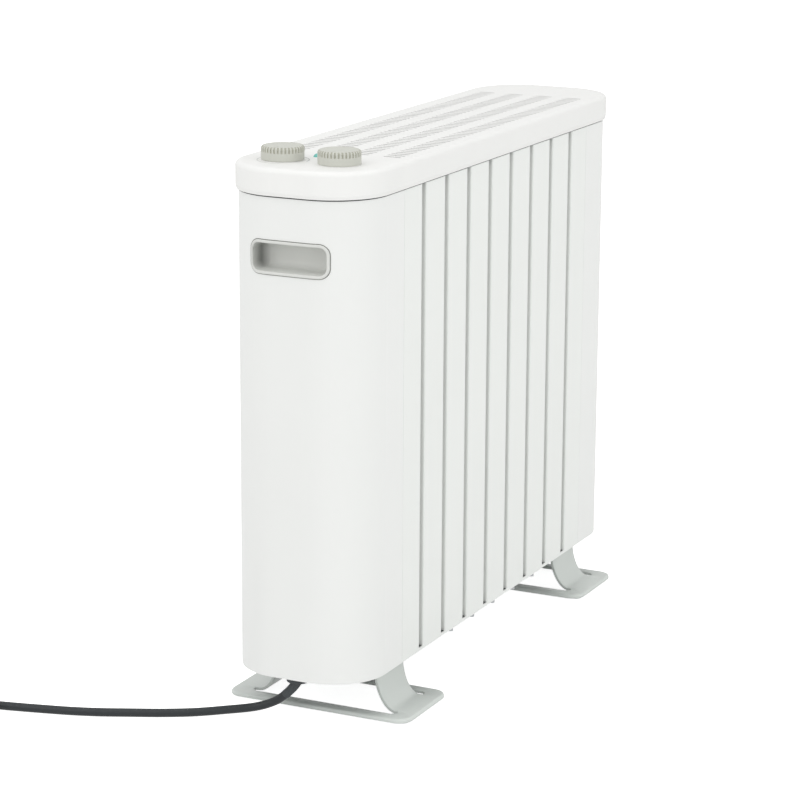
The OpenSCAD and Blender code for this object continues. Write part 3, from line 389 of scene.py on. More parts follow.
class Loft:
    """A mesh drawn through rings of points, all in metres in the row frame."""

    def __init__(self) -> None:
        """Starts with no points."""
        self.points: list[Vector] = []
        self.faces: list[tuple[int, ...]] = []

    def ring(self, points: Iterable[Vector]) -> list[int]:
        """Adds points and returns their numbers."""
        start = len(self.points)
        self.points.extend(Vector(p) for p in points)
        return list(range(start, len(self.points)))

    def hoop(self, centre: Vector, radius: float, sides: int, across: Vector = AXIS_X,
             up: Vector = AXIS_Y) -> list[int]:
        """Adds a circle in the plane of across and up, and returns its points' numbers."""
        turns = [math.tau * k / sides for k in range(sides)]
        return self.ring(centre + across * (radius * math.cos(t)) + up * (radius * math.sin(t)) for t in turns)

    def turned(self, profile: Sequence[Flat], foot: Vector, sides: int) -> list[list[int]]:
        """Adds a circle over the foot of an upright axis for each point (radius, height) of a profile."""
        return [self.hoop(foot + AXIS_Z * z, r, sides) for r, z in profile]

    def bridge(self, low: Sequence[int], high: Sequence[int], closed: bool = True) -> None:
        """Joins two rings of the same count with four-sided faces."""
        count = len(low)
        for i in range(count if closed else count - 1):
            j = (i + 1) % count
            self.faces.append((low[i], low[j], high[j], high[i]))

    def through(self, rings: Sequence[Sequence[int]], looped: bool = False) -> None:
        """Joins each ring to the next, and the last to the first if looped."""
        for low, high in zip(rings, rings[1:]):
            self.bridge(low, high)
        if looped:
            self.bridge(rings[-1], rings[0])

    def tube(self, rings: Sequence[Sequence[int]]) -> "Loft":
        """Joins each ring to the next, closes both ends, and returns the loft."""
        self.through(rings)
        self.faces += [tuple(reversed(rings[0])), tuple(rings[-1])]
        return self

    def piece(self, name: str, body: str, slot: str, *nodes: str, finish: Finish | None = None,
              sharp: float = 40.0) -> Piece:
        """Makes the object and reports it.

        Args:
            name: the piece's name.
            body: what it rides on.
            slot: its material slot.
            nodes: the CAD nodes that it stands for.
            finish: what it is made of, the slot's own finish if left out.
            sharp: edges over this many degrees stay crisp.

        Returns:
            The new object, linked into the scene.
        """
        mesh = bpy.data.meshes.new(name)
        mesh.from_pydata([tuple(p) for p in self.points], [], self.faces)
        mesh.validate()
        mesh.update()
        for face in mesh.polygons:
            face.use_smooth = True
        mesh.set_sharp_from_angle(angle=math.radians(sharp))
        mesh.materials.append((finish or FINISHES[slot]).material())
        return report(placed(name, mesh), body, slot, *nodes)


def mm(x: float, y: float, z: float) -> Vector:
    """Returns a point given in millimetres."""
    return Vector((x, y, z)) * MM


def arc_points(centre: Flat, radius: float, start: float, stop: float, steps: int) -> list[Flat]:
    """Returns points on an arc, angles in degrees."""
    turns = [math.radians(start + (stop - start) * i / steps) for i in range(steps + 1)]
    return [(centre[0] + radius * math.cos(t), centre[1] + radius * math.sin(t)) for t in turns]


def polar(centre: Vector, radius: float, degrees: float, height: float) -> Vector:
    """Returns the point at radius and degrees round an upright axis through centre, at height."""
    turn = math.radians(degrees)
    return Vector((centre.x + radius * math.cos(turn), centre.y + radius * math.sin(turn), height))


def smooth_step(value: float) -> float:
    """Returns 0 below 0, 1 above 1, and an even S between."""
    held = max(0.0, min(1.0, value))
    return held * held * (3 - 2 * held)


def spline_point(before: Vector, start: Vector, stop: Vector, after: Vector, part: float) -> Vector:
    """Returns a point of the smooth curve from start to stop, at part of the way."""
    square, cube = part * part, part * part * part
    return (start * 2 + (stop - before) * part + (before * 2 - start * 5 + stop * 4 - after) * square
            + (start * 3 - before - stop * 3 + after) * cube) / 2


@dataclass(frozen=True)
class Ribs:
    """A row of soft ribs along a piece, its start and share in parts of the piece's length."""

    count: int
    start: float
    share: float
    depth: float
    slope: float
    half: float = 0.24

    def gap(self, part: float) -> float:
        """Returns how deep the gap between two ribs is at part of the length, 0 outside the ribs."""
        phase = (part - self.start) / self.share * self.count
        if not 0 <= phase < self.count:
            return 0.0
        return self.depth * smooth_step((abs((phase % 1) - 0.5) - self.half) / self.slope)


def report(piece: Piece, body: str, slot: str, *nodes: str) -> Piece:
    """Rides a piece on its body, hides the CAD nodes that it stands for, and logs it with them."""
    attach(piece, body)
    if nodes:
        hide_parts(*nodes)
    log.info("%s rides on %s%s", piece.name, body, f", for {', '.join(nodes)}" if nodes else "")
    return piece


# ---- studio


@dataclass(frozen=True)
class Lamp:
    """A square softbox that looks at the middle of the heater."""

    name: str
    place: Triple
    size: float
    watts: float
    tint: Triple = (1.0, 1.0, 1.0)
    aim: ClassVar[Triple] = (0.0, 0.0, 0.24)

    def hang(self) -> None:
        """Puts the softbox in its place."""
        data = bpy.data.lights.new(self.name, "AREA")
        data.shape, data.size, data.energy, data.color = "SQUARE", self.size, self.watts, self.tint
        lamp = placed(self.name, data)
        lamp.location = self.place
        way = Vector(self.aim) - Vector(self.place)
        lamp.rotation_euler = way.to_track_quat("-Z", "Y").to_euler()


@dataclass
class Studio:
    """Camera, floor and lamps, fitted to the photograph's view."""

    azimuth: float = -64.286
    elevation: float = 13.974
    roll: float = 0.320
    distance: float = 2.48755
    lens: float = 129.66
    sensor: float = 36.0
    sight: float = 100.0
    aim_along: float = -0.028065
    aim_height: float = 0.20972
    world_level: float = 0.735
    floor_glow: float = 0.85
    floor_reach: float = 30.0
    floor_colour: Colour = (0.88, 0.885, 0.88, 1.0)
    lamps: tuple[Lamp, ...] = (
        Lamp("softbox_left", (-2.3, 0.7, 1.5), 1.5, 11.0),
        Lamp("softbox_front", (-0.4, -2.4, 1.3), 1.6, 13.0, (0.99, 1.0, 1.0)),
        Lamp("softbox_top", (-0.7, 0.1, 2.6), 1.6, 9.5))

    def camera(self) -> None:
        """Puts the camera where the photograph was taken from."""
        turn, rise, roll = (math.radians(v) for v in (self.azimuth, self.elevation, self.roll))
        back = Vector((math.sin(turn) * math.cos(rise), -math.cos(turn) * math.cos(rise), math.sin(rise)))
        aim = Vector((self.aim_along * math.cos(turn), self.aim_along * math.sin(turn), self.aim_height))
        right = AXIS_Z.cross(back).normalized()
        up = back.cross(right)
        rolled_right = right * math.cos(roll) + up * math.sin(roll)
        rolled_up = up * math.cos(roll) - right * math.sin(roll)
        data = bpy.data.cameras.new("view_camera")
        data.lens, data.sensor_width, data.clip_end = self.lens, self.sensor, self.sight
        camera = placed("view_camera", data)
        axes = Matrix((rolled_right, rolled_up, back)).transposed().to_4x4()
        camera.matrix_world = Matrix.Translation(aim + back * self.distance) @ axes
        bpy.context.scene.camera = camera

    def floor(self) -> None:
        """Lays the plain pale floor, which shows white and keeps a faint shadow."""
        mesh = bpy.data.meshes.new("floor")
        reach = self.floor_reach
        mesh.from_pydata([(x * reach, y * reach, 0) for x, y in ((-1, -1), (1, -1), (1, 1), (-1, 1))], [],
                         [(0, 1, 2, 3)])
        placed("floor", mesh)
        material = bpy.data.materials.new("floor_white")
        material.use_nodes = True
        tree = material.node_tree
        tree.nodes.clear()
        diffuse = add_node(tree, "BsdfDiffuse", {"Color": self.floor_colour}).outputs[0]
        glow = add_node(tree, "Emission", {"Strength": self.floor_glow}).outputs[0]
        white = add_node(tree, "Emission").outputs[0]
        shown = add_node(tree, "AddShader", {0: diffuse, 1: glow}).outputs[0]
        mirrored = add_node(tree, "MixShader", {0: seen(tree), 1: diffuse, 2: white}).outputs[0]
        direct = add_node(tree, "LightPath").outputs["Is Camera Ray"]
        surface = add_node(tree, "MixShader", {0: direct, 1: mirrored, 2: shown}).outputs[0]
        add_node(tree, "OutputMaterial", {"Surface": surface})
        mesh.materials.append(material)

    def world(self) -> None:
        """Lights everything softly from all round, and shows white behind."""
        world = bpy.data.worlds.new("studio_world")
        bpy.context.scene.world = world
        world.use_nodes = True
        tree = world.node_tree
        tree.nodes.clear()
        light, white = (add_node(tree, "Background", {"Color": WHITE, "Strength": level}).outputs[0]
                        for level in (self.world_level, 1.0))
        mix = add_node(tree, "MixShader", {0: seen(tree), 1: light, 2: white}).outputs[0]
        add_node(tree, "OutputWorld", {"Surface": mix})

    def build(self) -> None:
        """Sets the whole studio up."""
        bpy.context.scene.view_settings.view_transform = "Standard"
        self.camera()
        self.floor()
        self.world()
        for lamp in self.lamps:
            lamp.hang()
        log.info("studio ready")


# ---- mains lead


@dataclass
class CordBoot:
    """Round collar under the casing and a slim boot that bends the lead outward, in millimetres."""

    root: Triple = (-245.0, 3.0, 31.2)
    knee: Triple = (-245.0, 6.75, 24.6)
    collar_radius: float = 9.8
    collar_height: float = 8.2
    collar_out: float = 0.7
    throat: float = 5.0
    root_radius: float = 3.95
    tip_radius: float = 3.7
    mouth_radius: float = 3.52
    flare: float = 0.4
    flare_part: float = 0.08
    ribs: Ribs = Ribs(6, 0.3, 0.62, 0.12, 0.12)
    sides: int = 48
    steps: int = 60

    def collar(self) -> list[Flat]:
        """Returns the collar's profile (radius, height over the root) from its top to the boot."""
        r, top = self.collar_radius, self.collar_height
        return [(1.0, top), (r - 0.3, top), (r, top - 0.3), (r, 1.2), (r - 0.35, 0.35), (r - 1.2, 0.0),
                (self.throat + 1.0, 0.0), (self.throat, -0.1)]

    def build(self, tip: Vector) -> None:
        """Makes the collar and the boot down to tip, the lead's exit in metres."""
        loft = Loft()
        root, knee = mm(*self.root), mm(*self.knee)
        rings = []
        for radius, height in self.collar():
            off = -self.collar_out * smooth_step((radius - self.throat) / 3.0)
            centre = root + mm(0, off, height)
            rings.append(loft.hoop(centre, radius * MM, self.sides))
        for i in range(2, self.steps + 1):
            part = i / self.steps
            centre = root.lerp(knee, part).lerp(knee.lerp(tip, part), part)
            way = (knee - root).lerp(tip - knee, part).normalized()
            up = AXIS_X.cross(way).normalized() * -1
            rings.append(loft.hoop(centre, self.radius(part) * MM, self.sides, up=up))
        up = AXIS_X.cross((tip - knee).normalized()) * -1
        rings.append(loft.hoop(tip, self.mouth_radius * MM, self.sides, up=up))
        loft.tube(rings).piece("lead_boot", ROOT_BODY, "black_rubber", "cord_gland", sharp=50.0)

    def radius(self, part: float) -> float:
        """Returns the boot's radius at part of its length, shallow ribs included."""
        flare = self.flare * (1 - smooth_step(part / self.flare_part))
        taper = (self.root_radius - self.tip_radius) * part
        return self.root_radius + flare - taper - self.ribs.gap(part)


@dataclass
class Plug:
    """Round two-pin plug that lies on the coil with its pins up, in millimetres."""

    body_diameter: float = 37.0
    body_height: float = 20.0
    body_edge: float = 2.0
    body_waist: float = 0.4
    coil_top: float = 14.9
    grip_length: float = 20.0
    grip_sunk: float = 4.0
    grip_overlap: float = 3.0
    grip_radius: float = 4.6
    grip_growth: float = 1.8
    ribs: Ribs = Ribs(6, 0.08, 0.6, 0.55, 0.1)
    rubber: tuple[str, str, str] = (ROOT_BODY, "black_rubber", "mains_plug")
    steps: int = 56
    pin_half: float = 9.5
    pin_diameter: float = 4.8
    pin_length: float = 19.0
    pin_root: float = 6.0
    pin_edge: float = 1.2

    def build(self, entry: Vector) -> list[Piece]:
        """Makes the body, grip and pins from the lead's entry, in metres, and returns them."""
        centre = mm(entry.x / MM - self.grip_length - self.body_diameter / 2 + self.grip_sunk, entry.y / MM,
                    self.coil_top)
        return [self.body(centre), self.grip(entry, centre), self.pins(centre)]

    def body(self, centre: Vector) -> Piece:
        """Returns the round body, drawn in at its waist and sunk a little round the pins."""
        r, h, edge = self.body_diameter / 2 * MM, self.body_height * MM, self.body_edge * MM
        waist, face = r - self.body_waist * MM, h - 0.8 * MM
        profile = [(0.2 * MM, 0.0), (r - edge, 0.0)]
        profile += arc_points((r - edge, edge), edge, -90, 0, 6)
        profile += [(r, h * 0.3), (waist, h * 0.34), (waist, h * 0.66), (r, h * 0.7)]
        profile += arc_points((r - edge, h - edge), edge, 0, 90, 6)
        profile += [(r - 3 * MM, h), (r - 3.3 * MM, face), (0.2 * MM, face)]
        loft = Loft()
        loft.tube(loft.turned(profile, centre, 96))
        return loft.piece("plug_body", *self.rubber, sharp=35.0)

    def grip(self, entry: Vector, centre: Vector) -> Piece:
        """Returns the ribbed grip between the lead and the plug's body."""
        loft = Loft()
        rings = []
        length = entry.x - centre.x - self.body_diameter / 2 * MM + self.grip_overlap * MM
        for i in range(self.steps + 1):
            part = i / self.steps
            radius = self.grip_radius + self.grip_growth * smooth_step(part / 0.9) - self.ribs.gap(part)
            middle = Vector((entry.x - part * length, entry.y, entry.z))
            rings.append(loft.hoop(middle, radius * MM, 40, -AXIS_Y, AXIS_Z))
        return loft.tube(rings).piece("plug_grip", *self.rubber, sharp=50.0)

    def pins(self, centre: Vector) -> Piece:
        """Returns both pins with their round tips as one piece."""
        loft = Loft()
        r, edge = self.pin_diameter / 2 * MM, self.pin_edge * MM
        low = (self.body_height - self.pin_root) * MM
        top = (self.body_height + self.pin_length) * MM
        profile = [(0.1 * MM, low), (r, low), (r, top - edge)]
        profile += arc_points((r - edge, top - edge), edge, 0, 84, 6) + [(0.1 * MM, top)]
        for side in (-1, 1):
            foot = centre + Vector((0, side * self.pin_half * MM, 0))
            loft.tube(loft.turned(profile, foot, 32))
        return loft.piece("plug_pin_pair", ROOT_BODY, "nickel_pin", "plug_pins")


@dataclass
class MainsLead:
    """The free lead: from the boot down to the floor, away, and into a coil with its plug.

    Its diameter and length are in metres, and the rest is in millimetres.
    """

    diameter: float = 0.007
    length: float = 1.525
    coil_radius: float = 47.5
    coil_step: float = 7.6
    coil_turns: float = 2.25
    coil_lead: float = 7.0
    tail_radius: float = 28.0
    tail_rise: float = 10.9
    tail_steps: int = 16
    rise_before: float = 30.0
    spacing: float = 3.0
    approach: Triple = (0.0, 7.67, -6.82)
    route: tuple[Triple, ...] = (
        (-245, 14.42, 17.69), (-245.2, 21.5, 12), (-246.2, 29.5, 7.8), (-248.6, 37, 5.2),
        (-252.4, 44.5, 3.9), (-257.8, 51.8, 3.5), (-264.5, 59.6, 3.5), (-273.5, 70, 3.5),
        (-283, 83, 3.5), (-294, 102.5, 3.5), (-304, 124, 3.5), (-314, 146, 3.5),
        (-322, 168, 3.5), (-328, 190, 3.5), (-333, 210, 3.5), (-337, 228, 3.5),
        (-339.5, 246, 3.5), (-340, 262, 3.5))

    def coil_ends(self) -> Triple:
        """Returns the turns in degrees where the coil's way in, its crossing and its way out end."""
        way_in = 360 * self.coil_turns
        return (way_in, way_in + 180, 2 * way_in + 180)

    def coil_centre(self) -> Vector:
        """Returns the coil's middle."""
        last = self.route[-1]
        return Vector((last[0] - self.coil_radius, last[1] + self.coil_lead, 0))

    def height(self, layer: float, run: float) -> float:
        """Returns the lead's height in the coil's layer, 0 or 1, with run already climbed towards the plug."""
        climb = math.radians(self.rise_before) * self.coil_radius + math.radians(90) * self.tail_radius
        return self.diameter / MM / 2 + self.coil_step * layer + self.tail_rise * smooth_step(run / climb)

    def coil_point(self, degrees: float) -> Vector:
        """Returns a point of the coil by its turn from the start."""
        way_in, crossed, way_out = self.coil_ends()
        small = self.coil_radius - self.coil_step * self.coil_turns
        if degrees < way_in:
            radius = self.coil_radius - self.coil_step * degrees / 360
        elif degrees < crossed:
            radius = small - self.coil_step * (degrees - way_in) / 360 * (crossed - degrees) / 180
        else:
            radius = small + self.coil_step * (degrees - crossed) / 360
        run = math.radians(degrees - way_out + self.rise_before) * self.coil_radius
        height = self.height(smooth_step((degrees - way_in) / 180), run)
        return polar(self.coil_centre(), radius, degrees, height)

    def tail_point(self, degrees: float) -> Vector:
        """Returns a point of the tail that leaves the coil."""
        centre = self.coil_centre() + Vector((self.coil_radius - self.tail_radius, 0, 0))
        run = math.radians(self.rise_before) * self.coil_radius + math.radians(degrees) * self.tail_radius
        return polar(centre, self.tail_radius, degrees, self.height(1.0, run))

    def plug_entry(self) -> Vector:
        """Returns the point where the lead enters the plug."""
        return self.tail_point(90) - Vector((self.coil_lead, 0, 0))

    def centreline(self) -> list[Vector]:
        """Returns the lead's middle line in metres, finely stepped."""
        knots = [Vector(p) for p in self.route]
        padded = [knots[0] - Vector(self.approach), *knots, knots[-1] * 2 - knots[-2]]
        run: list[Vector] = []
        for before, start, stop, after in zip(padded, padded[1:], padded[2:], padded[3:]):
            pieces = max(2, round((stop - start).length / self.spacing))
            run.extend(spline_point(before, start, stop, after, k / pieces) for k in range(pieces))
        way_out = self.coil_ends()[-1]
        count = round(way_out / math.degrees(self.spacing / self.coil_radius))
        run.append(knots[-1])
        run.extend(self.coil_point(way_out * k / count) for k in range(count))
        run.extend(self.tail_point(90 * k / self.tail_steps) for k in range(self.tail_steps + 1))
        run.append(self.plug_entry())
        return [p * MM for p in run]

    def build(self, plug: Plug, boot: CordBoot) -> None:
        points = self.centreline()
        data = bpy.data.curves.new("mains_lead", "CURVE")
        data.dimensions, data.use_fill_caps = "3D", True
        data.bevel_depth, data.bevel_resolution = self.diameter / 2, 6
        spline = data.splines.new("POLY")
        spline.points.add(len(points) - 1)
        for knot, point in zip(spline.points, points):
            knot.co = (*point, 1)
        data.materials.append(FINISHES["grey_cord_sheath"].material())
        lead = placed("mains_lead", data)
        report(lead, ROOT_BODY, "grey_cord_sheath", "power_cord", "cord_coil")
        boot.build(points[0])
        ends = plug.build(self.plug_entry() * MM)
        tuple(points[0])


# ---- controls


class Control(Enum):
    """The two knobs by name, body, node and side of the heater."""

    THERMOSTAT = ("thermostat", "thermostat_control", "thermostat_knob", 1)
    POWER = ("power", "power_control", "power_knob", -1)


@dataclass
class KnobPair:
    """Two low fluted knobs on the near end of the cover, with their seats and the printed scale."""

    place_x: float = -226.0
    place_y: float = 24.75
    deck: float = 450.0
    base: float = 450.6
    radius: float = 17.0
    height: float = 11.0
    dish: float = 0.1
    shoulder: float = 2.0
    wall: float = 2.0
    hub_radius: float = 5.5
    bore_radius: float = 3.05
    flutes: int = 36
    columns: int = 16
    flute_depth: float = 0.8
    flute_half: float = 0.2
    flute_low: float = 6.3
    flute_high: float = 10.6
    flute_ease: float = 0.4
    dark_margin: float = 0.04
    side_from: float = 15.1
    dark_from: float = 15.2
    pointer_out: float = 11.2
    pointer_length: float = 6.4
    pointer_width: float = 1.2
    pointer_rise: float = 0.14
    scale_steps: int = 120
    scale_start: float = 200.0
    scale_sweep: float = 290.0
    scale_radius: float = 19.6
    scale_drift: float = 0.5
    scale_width: float = 0.4
    scale_growth: float = 0.9
    seat_radius: float = 16.5
    seat_bore: float = 4.2
    seat_gap: float = 0.12

    def flute(self, turn: float, height: float) -> float:
        """Returns how far the side is drawn in at a turn, counted in flutes, and a height over the foot."""
        away = abs(turn % 1 - 0.5)
        cut = smooth_step((self.flute_half - away) / 0.12 + 0.5)
        start, stop = (smooth_step((height - z) / self.flute_ease) for z in (self.flute_low, self.flute_high))
        return self.flute_depth * (start * (1 - stop)) * cut

    def profile(self) -> list[Flat]:
        """Returns the knob's section (radius, height) in millimetres: bore, hub, hollow, side and top."""
        radius, bore, hub, edge = self.radius, self.bore_radius, self.hub_radius, self.shoulder
        hollow = radius - self.wall - self.flute_depth
        roof, top = self.height - self.wall, self.height - self.dish
        points = [(0.3, roof), (bore, roof), (bore, 0.2), (bore + 0.25, 0.0), (hub - 0.3, 0.0), (hub, 0.3),
                  (hub, roof), (hollow, roof), (hollow, 0.3), (hollow + 0.3, 0.0), (radius - 0.25, 0.0)]
        points += [(radius, z) for z in (0.25, 1.5, 3.5, 5.2, 6.3, 6.45, 6.6, 6.75, 7.8, 8.7)]
        points += arc_points((radius - edge, self.height - edge), edge, 0, 90, 10)
        return points + [(15.0, top), (0.3, top)]

    def knob(self, control: Control) -> None:
        """Makes one knob with its hollow underside and its pointer."""
        name, body, node, side = control.value
        centre = mm(self.place_x, side * self.place_y, self.base)
        count = self.flutes * self.columns
        loft = Loft()
        rings = []
        for radius, height in self.profile():
            ring = []
            for k in range(count):
                angle = math.tau * k / count
                drawn = radius - (self.flute(k / self.columns, height) if radius > self.side_from else 0.0)
                ring.append(centre + mm(drawn * math.cos(angle), drawn * math.sin(angle), height))
            rings.append(loft.ring(ring))
        piece = loft.tube(rings).piece(f"{name}_grip", body, "warm_grey_moulding", node, sharp=50.0)
        self.darken_flutes(piece, centre)
        self.pointer(name, body, side)

    def darken_flutes(self, piece: Piece, centre: Vector) -> None:
        """Gives the flutes' sides and bottoms a rougher finish, and a darker tint that is painted shade in the
        flutes.
        """
        # painted shade: the faces inside the flutes get the darker tint
        piece.data.materials.append(FLUTE_SHADE_PLASTIC.material())
        low, high = self.flute_low, self.height - self.dish
        for face in piece.data.polygons:
            away = (face.center - centre) / MM
            turn = math.atan2(away.y, away.x) / math.tau * self.flutes
            in_flute = abs(turn % 1 - 0.5) < self.flute_half + self.dark_margin
            if in_flute and math.hypot(away.x, away.y) > self.dark_from and low < away.z < high:
                face.material_index = 1

    def pointer(self, name: str, body: str, side: int) -> None:
        """Makes a knob's pointer, a thin round-ended bar along X that lies in its top."""
        loft = Loft()
        middle = Vector((self.place_x - self.pointer_out, side * self.place_y, 0))
        r = self.pointer_width / 2
        end = self.pointer_length / 2 - r
        outline = arc_points((end, 0), r, -90, 90, 10) + arc_points((-end, 0), r, 90, 270, 10)
        low = self.base + self.height - self.pointer_rise
        rings = [loft.ring(mm(middle.x + x, middle.y + y, z) for x, y in outline)
                 for z in (low, low + self.pointer_rise)]
        loft.tube(rings).piece(f"{name}_pointer", body, "warm_grey_moulding")

    def scale_ring(self) -> None:
        """Prints the thermostat's wedge-shaped scale, which widens as the knob turns up."""
        loft = Loft()
        low, high = self.deck - 0.01, self.deck + 0.05
        rings = []
        for i in range(self.scale_steps + 1):
            part = i / self.scale_steps
            angle = math.radians(self.scale_start - self.scale_sweep * part)
            inner = self.scale_radius + self.scale_drift * part
            outer = inner + self.scale_width + self.scale_growth * part
            corners = ((inner, low), (outer, low), (outer, high), (inner, high))
            rings.append(loft.ring(mm(self.place_x + r * math.cos(angle), self.place_y + r * math.sin(angle), z)
                                   for r, z in corners))
        loft.tube(rings).piece("thermostat_scale", ROOT_BODY, "white_moulding", finish=SCALE_INK)

    def seat(self, control: Control) -> None:
        """Makes the low round seat on the cover that closes the gap under a knob."""
        name, _, _, side = control.value
        centre = mm(self.place_x, side * self.place_y, self.deck)
        r, bore, high = self.seat_radius, self.seat_bore, self.base - self.deck - self.seat_gap
        profile = [(bore, -0.02), (r + 0.15, -0.02), (r + 0.1, high - 0.12), (r, high), (bore + 0.2, high),
                   (bore, high - 0.2)]
        loft = Loft()
        loft.through(loft.turned([(x * MM, z * MM) for x, z in profile], centre, 96), looped=True)
        loft.piece(f"{name}_seat", ROOT_BODY, "white_moulding")

    def build(self) -> None:
        """Makes both knobs with their seats, and the scale."""
        for control in Control:
            self.knob(control)
            self.seat(control)
        self.scale_ring()


# ---- handles


class End(Enum):
    """The two ends of the casing by the sign of X."""

    NEAR = -1
    FAR = 1


@dataclass
class HandleCup:
    """Moulded grip pocket whose rim lies on the curved end of the casing."""

    end: End
    node: str
    half_length: float = 264.5
    flat_half: float = 16.0
    corner: float = 46.0
    middle: float = 380.0
    half_width: float = 35.0
    half_height: float = 14.0
    rounding: float = 9.0
    least_rounding: float = 0.6
    rim: float = 3.0
    rim_outer: float = 0.7
    rim_inner: float = 1.0
    rise: float = 1.2
    # width of the thin dark ring of painted shadow round the rim
    shadow_band: float = 0.6
    depth: float = 20.0
    wall: float = 1.8
    fillet: float = 6.0

    def surface(self, y: float, out: float) -> float:
        """Returns how far along X the casing's end stands at y, out millimetres proud of it."""
        past = abs(y) - self.flat_half
        if past <= 0:
            return self.half_length + out
        reach = self.corner + out
        return self.half_length - self.corner + math.sqrt(max(0.0, reach * reach - past * past))

    def outline(self, inset: float) -> list[Flat]:
        """Returns the rim's outline drawn in by inset, as points (y, z)."""
        r = max(self.rounding - inset, self.least_rounding)
        w, h = self.half_width - inset - r, self.half_height - inset - r
        points: list[Flat] = []
        for centre, start in (((w, h), 0), ((-w, h), 90), ((-w, -h), 180), ((w, -h), 270)):
            points += arc_points(centre, r, start, start + 90, 10)
            span, count = (2 * w, 14) if start in (0, 180) else (2 * h, 4)
            heading = math.radians(start + 180)
            y, z = points[-1]
            points += [(y + span * math.cos(heading) * k / count, z + span * math.sin(heading) * k / count)
                       for k in range(1, count)]
        return points

    def ring(self, loft: Loft, inset: float, out: float, level: float = 0.0) -> list[int]:
        """Adds a ring of the cup.

        Args:
            loft: the mesh in the making.
            inset: how far the ring lies inside the rim's outline.
            out: height over the casing's surface, below 0 inside.
            level: 0 follows the curved surface, 1 lies flat.

        Returns:
            The ring's point numbers.
        """
        points = []
        for y, z in self.outline(inset):
            deep = out <= -self.wall
            curved = self.surface(y, 0) + out if deep else self.surface(y, out)
            x = curved + (self.half_length + out - curved) * level
            points.append(mm(self.end.value * x, y, self.middle + z))
        return loft.ring(points)

    def finish(self, loft: Loft, name: str, *nodes: str, finish: Finish | None = None) -> None:
        """Makes the loft a piece named after its end, with its faces outward at either end."""
        if self.end is End.FAR:
            loft.faces = [tuple(reversed(face)) for face in loft.faces]
        name = f"{name}_{self.end.name.lower()}"
        loft.piece(name, ROOT_BODY, "grey_moulding", *nodes, finish=finish, sharp=45.0)

    def build(self) -> None:
        """Makes the dark ring of painted shadow, and the cup as one closed shell: outside of the tub, rim,
        pocket.
        """
        self.shadow_ring()
        loft = Loft()
        tub, rim, back = self.rim - self.wall, self.rim, -self.depth
        outer, inner, fillet = self.rim_outer, self.rim_inner, self.fillet
        steps = [(tub + fillet, back - self.wall + 0.05, 1.0), (tub + 1.2, back - self.wall + 1.2, 1.0),
                 (tub, back + 2.0, 1.0), (tub, -6.0, 1.0), (tub, -1.5), (tub, 0.02), (self.shadow_band, 0.02)]
        steps += [(self.shadow_band + outer - x, self.rise - outer + y)
                  for x, y in arc_points((0, 0), outer, 0, 90, 5)]
        steps += arc_points((rim - inner, self.rise - inner), inner, 90, 0, 6)
        steps += [(rim + 0.05, -1.0), (rim + 0.15, -3.0, 0.35), (rim + 0.3, -6.0, 0.85), (rim + 0.4, -8.0, 1.0)]
        steps += [(rim + 0.6 + fillet - x, back + fillet - y, 1.0)
                  for x, y in arc_points((0, 0), fillet, 0, 90, 8)]
        loft.tube([self.ring(loft, *step) for step in steps])
        self.finish(loft, "handle_pocket", self.node)

    def shadow_ring(self) -> None:
        """Makes the thin dark ring round the rim, a painted shadow line where the rim meets the casing."""
        loft = Loft()
        steps = ((1.0, 0.02), (0.1, 0.02), (0.02, 0.12), (0.12, 0.3), (1.0, 0.3))
        loft.through([self.ring(loft, *step) for step in steps], looped=True)
        self.finish(loft, "handle_shadow_line", finish=CUP_SHADOW_LINE)


# ---- feet


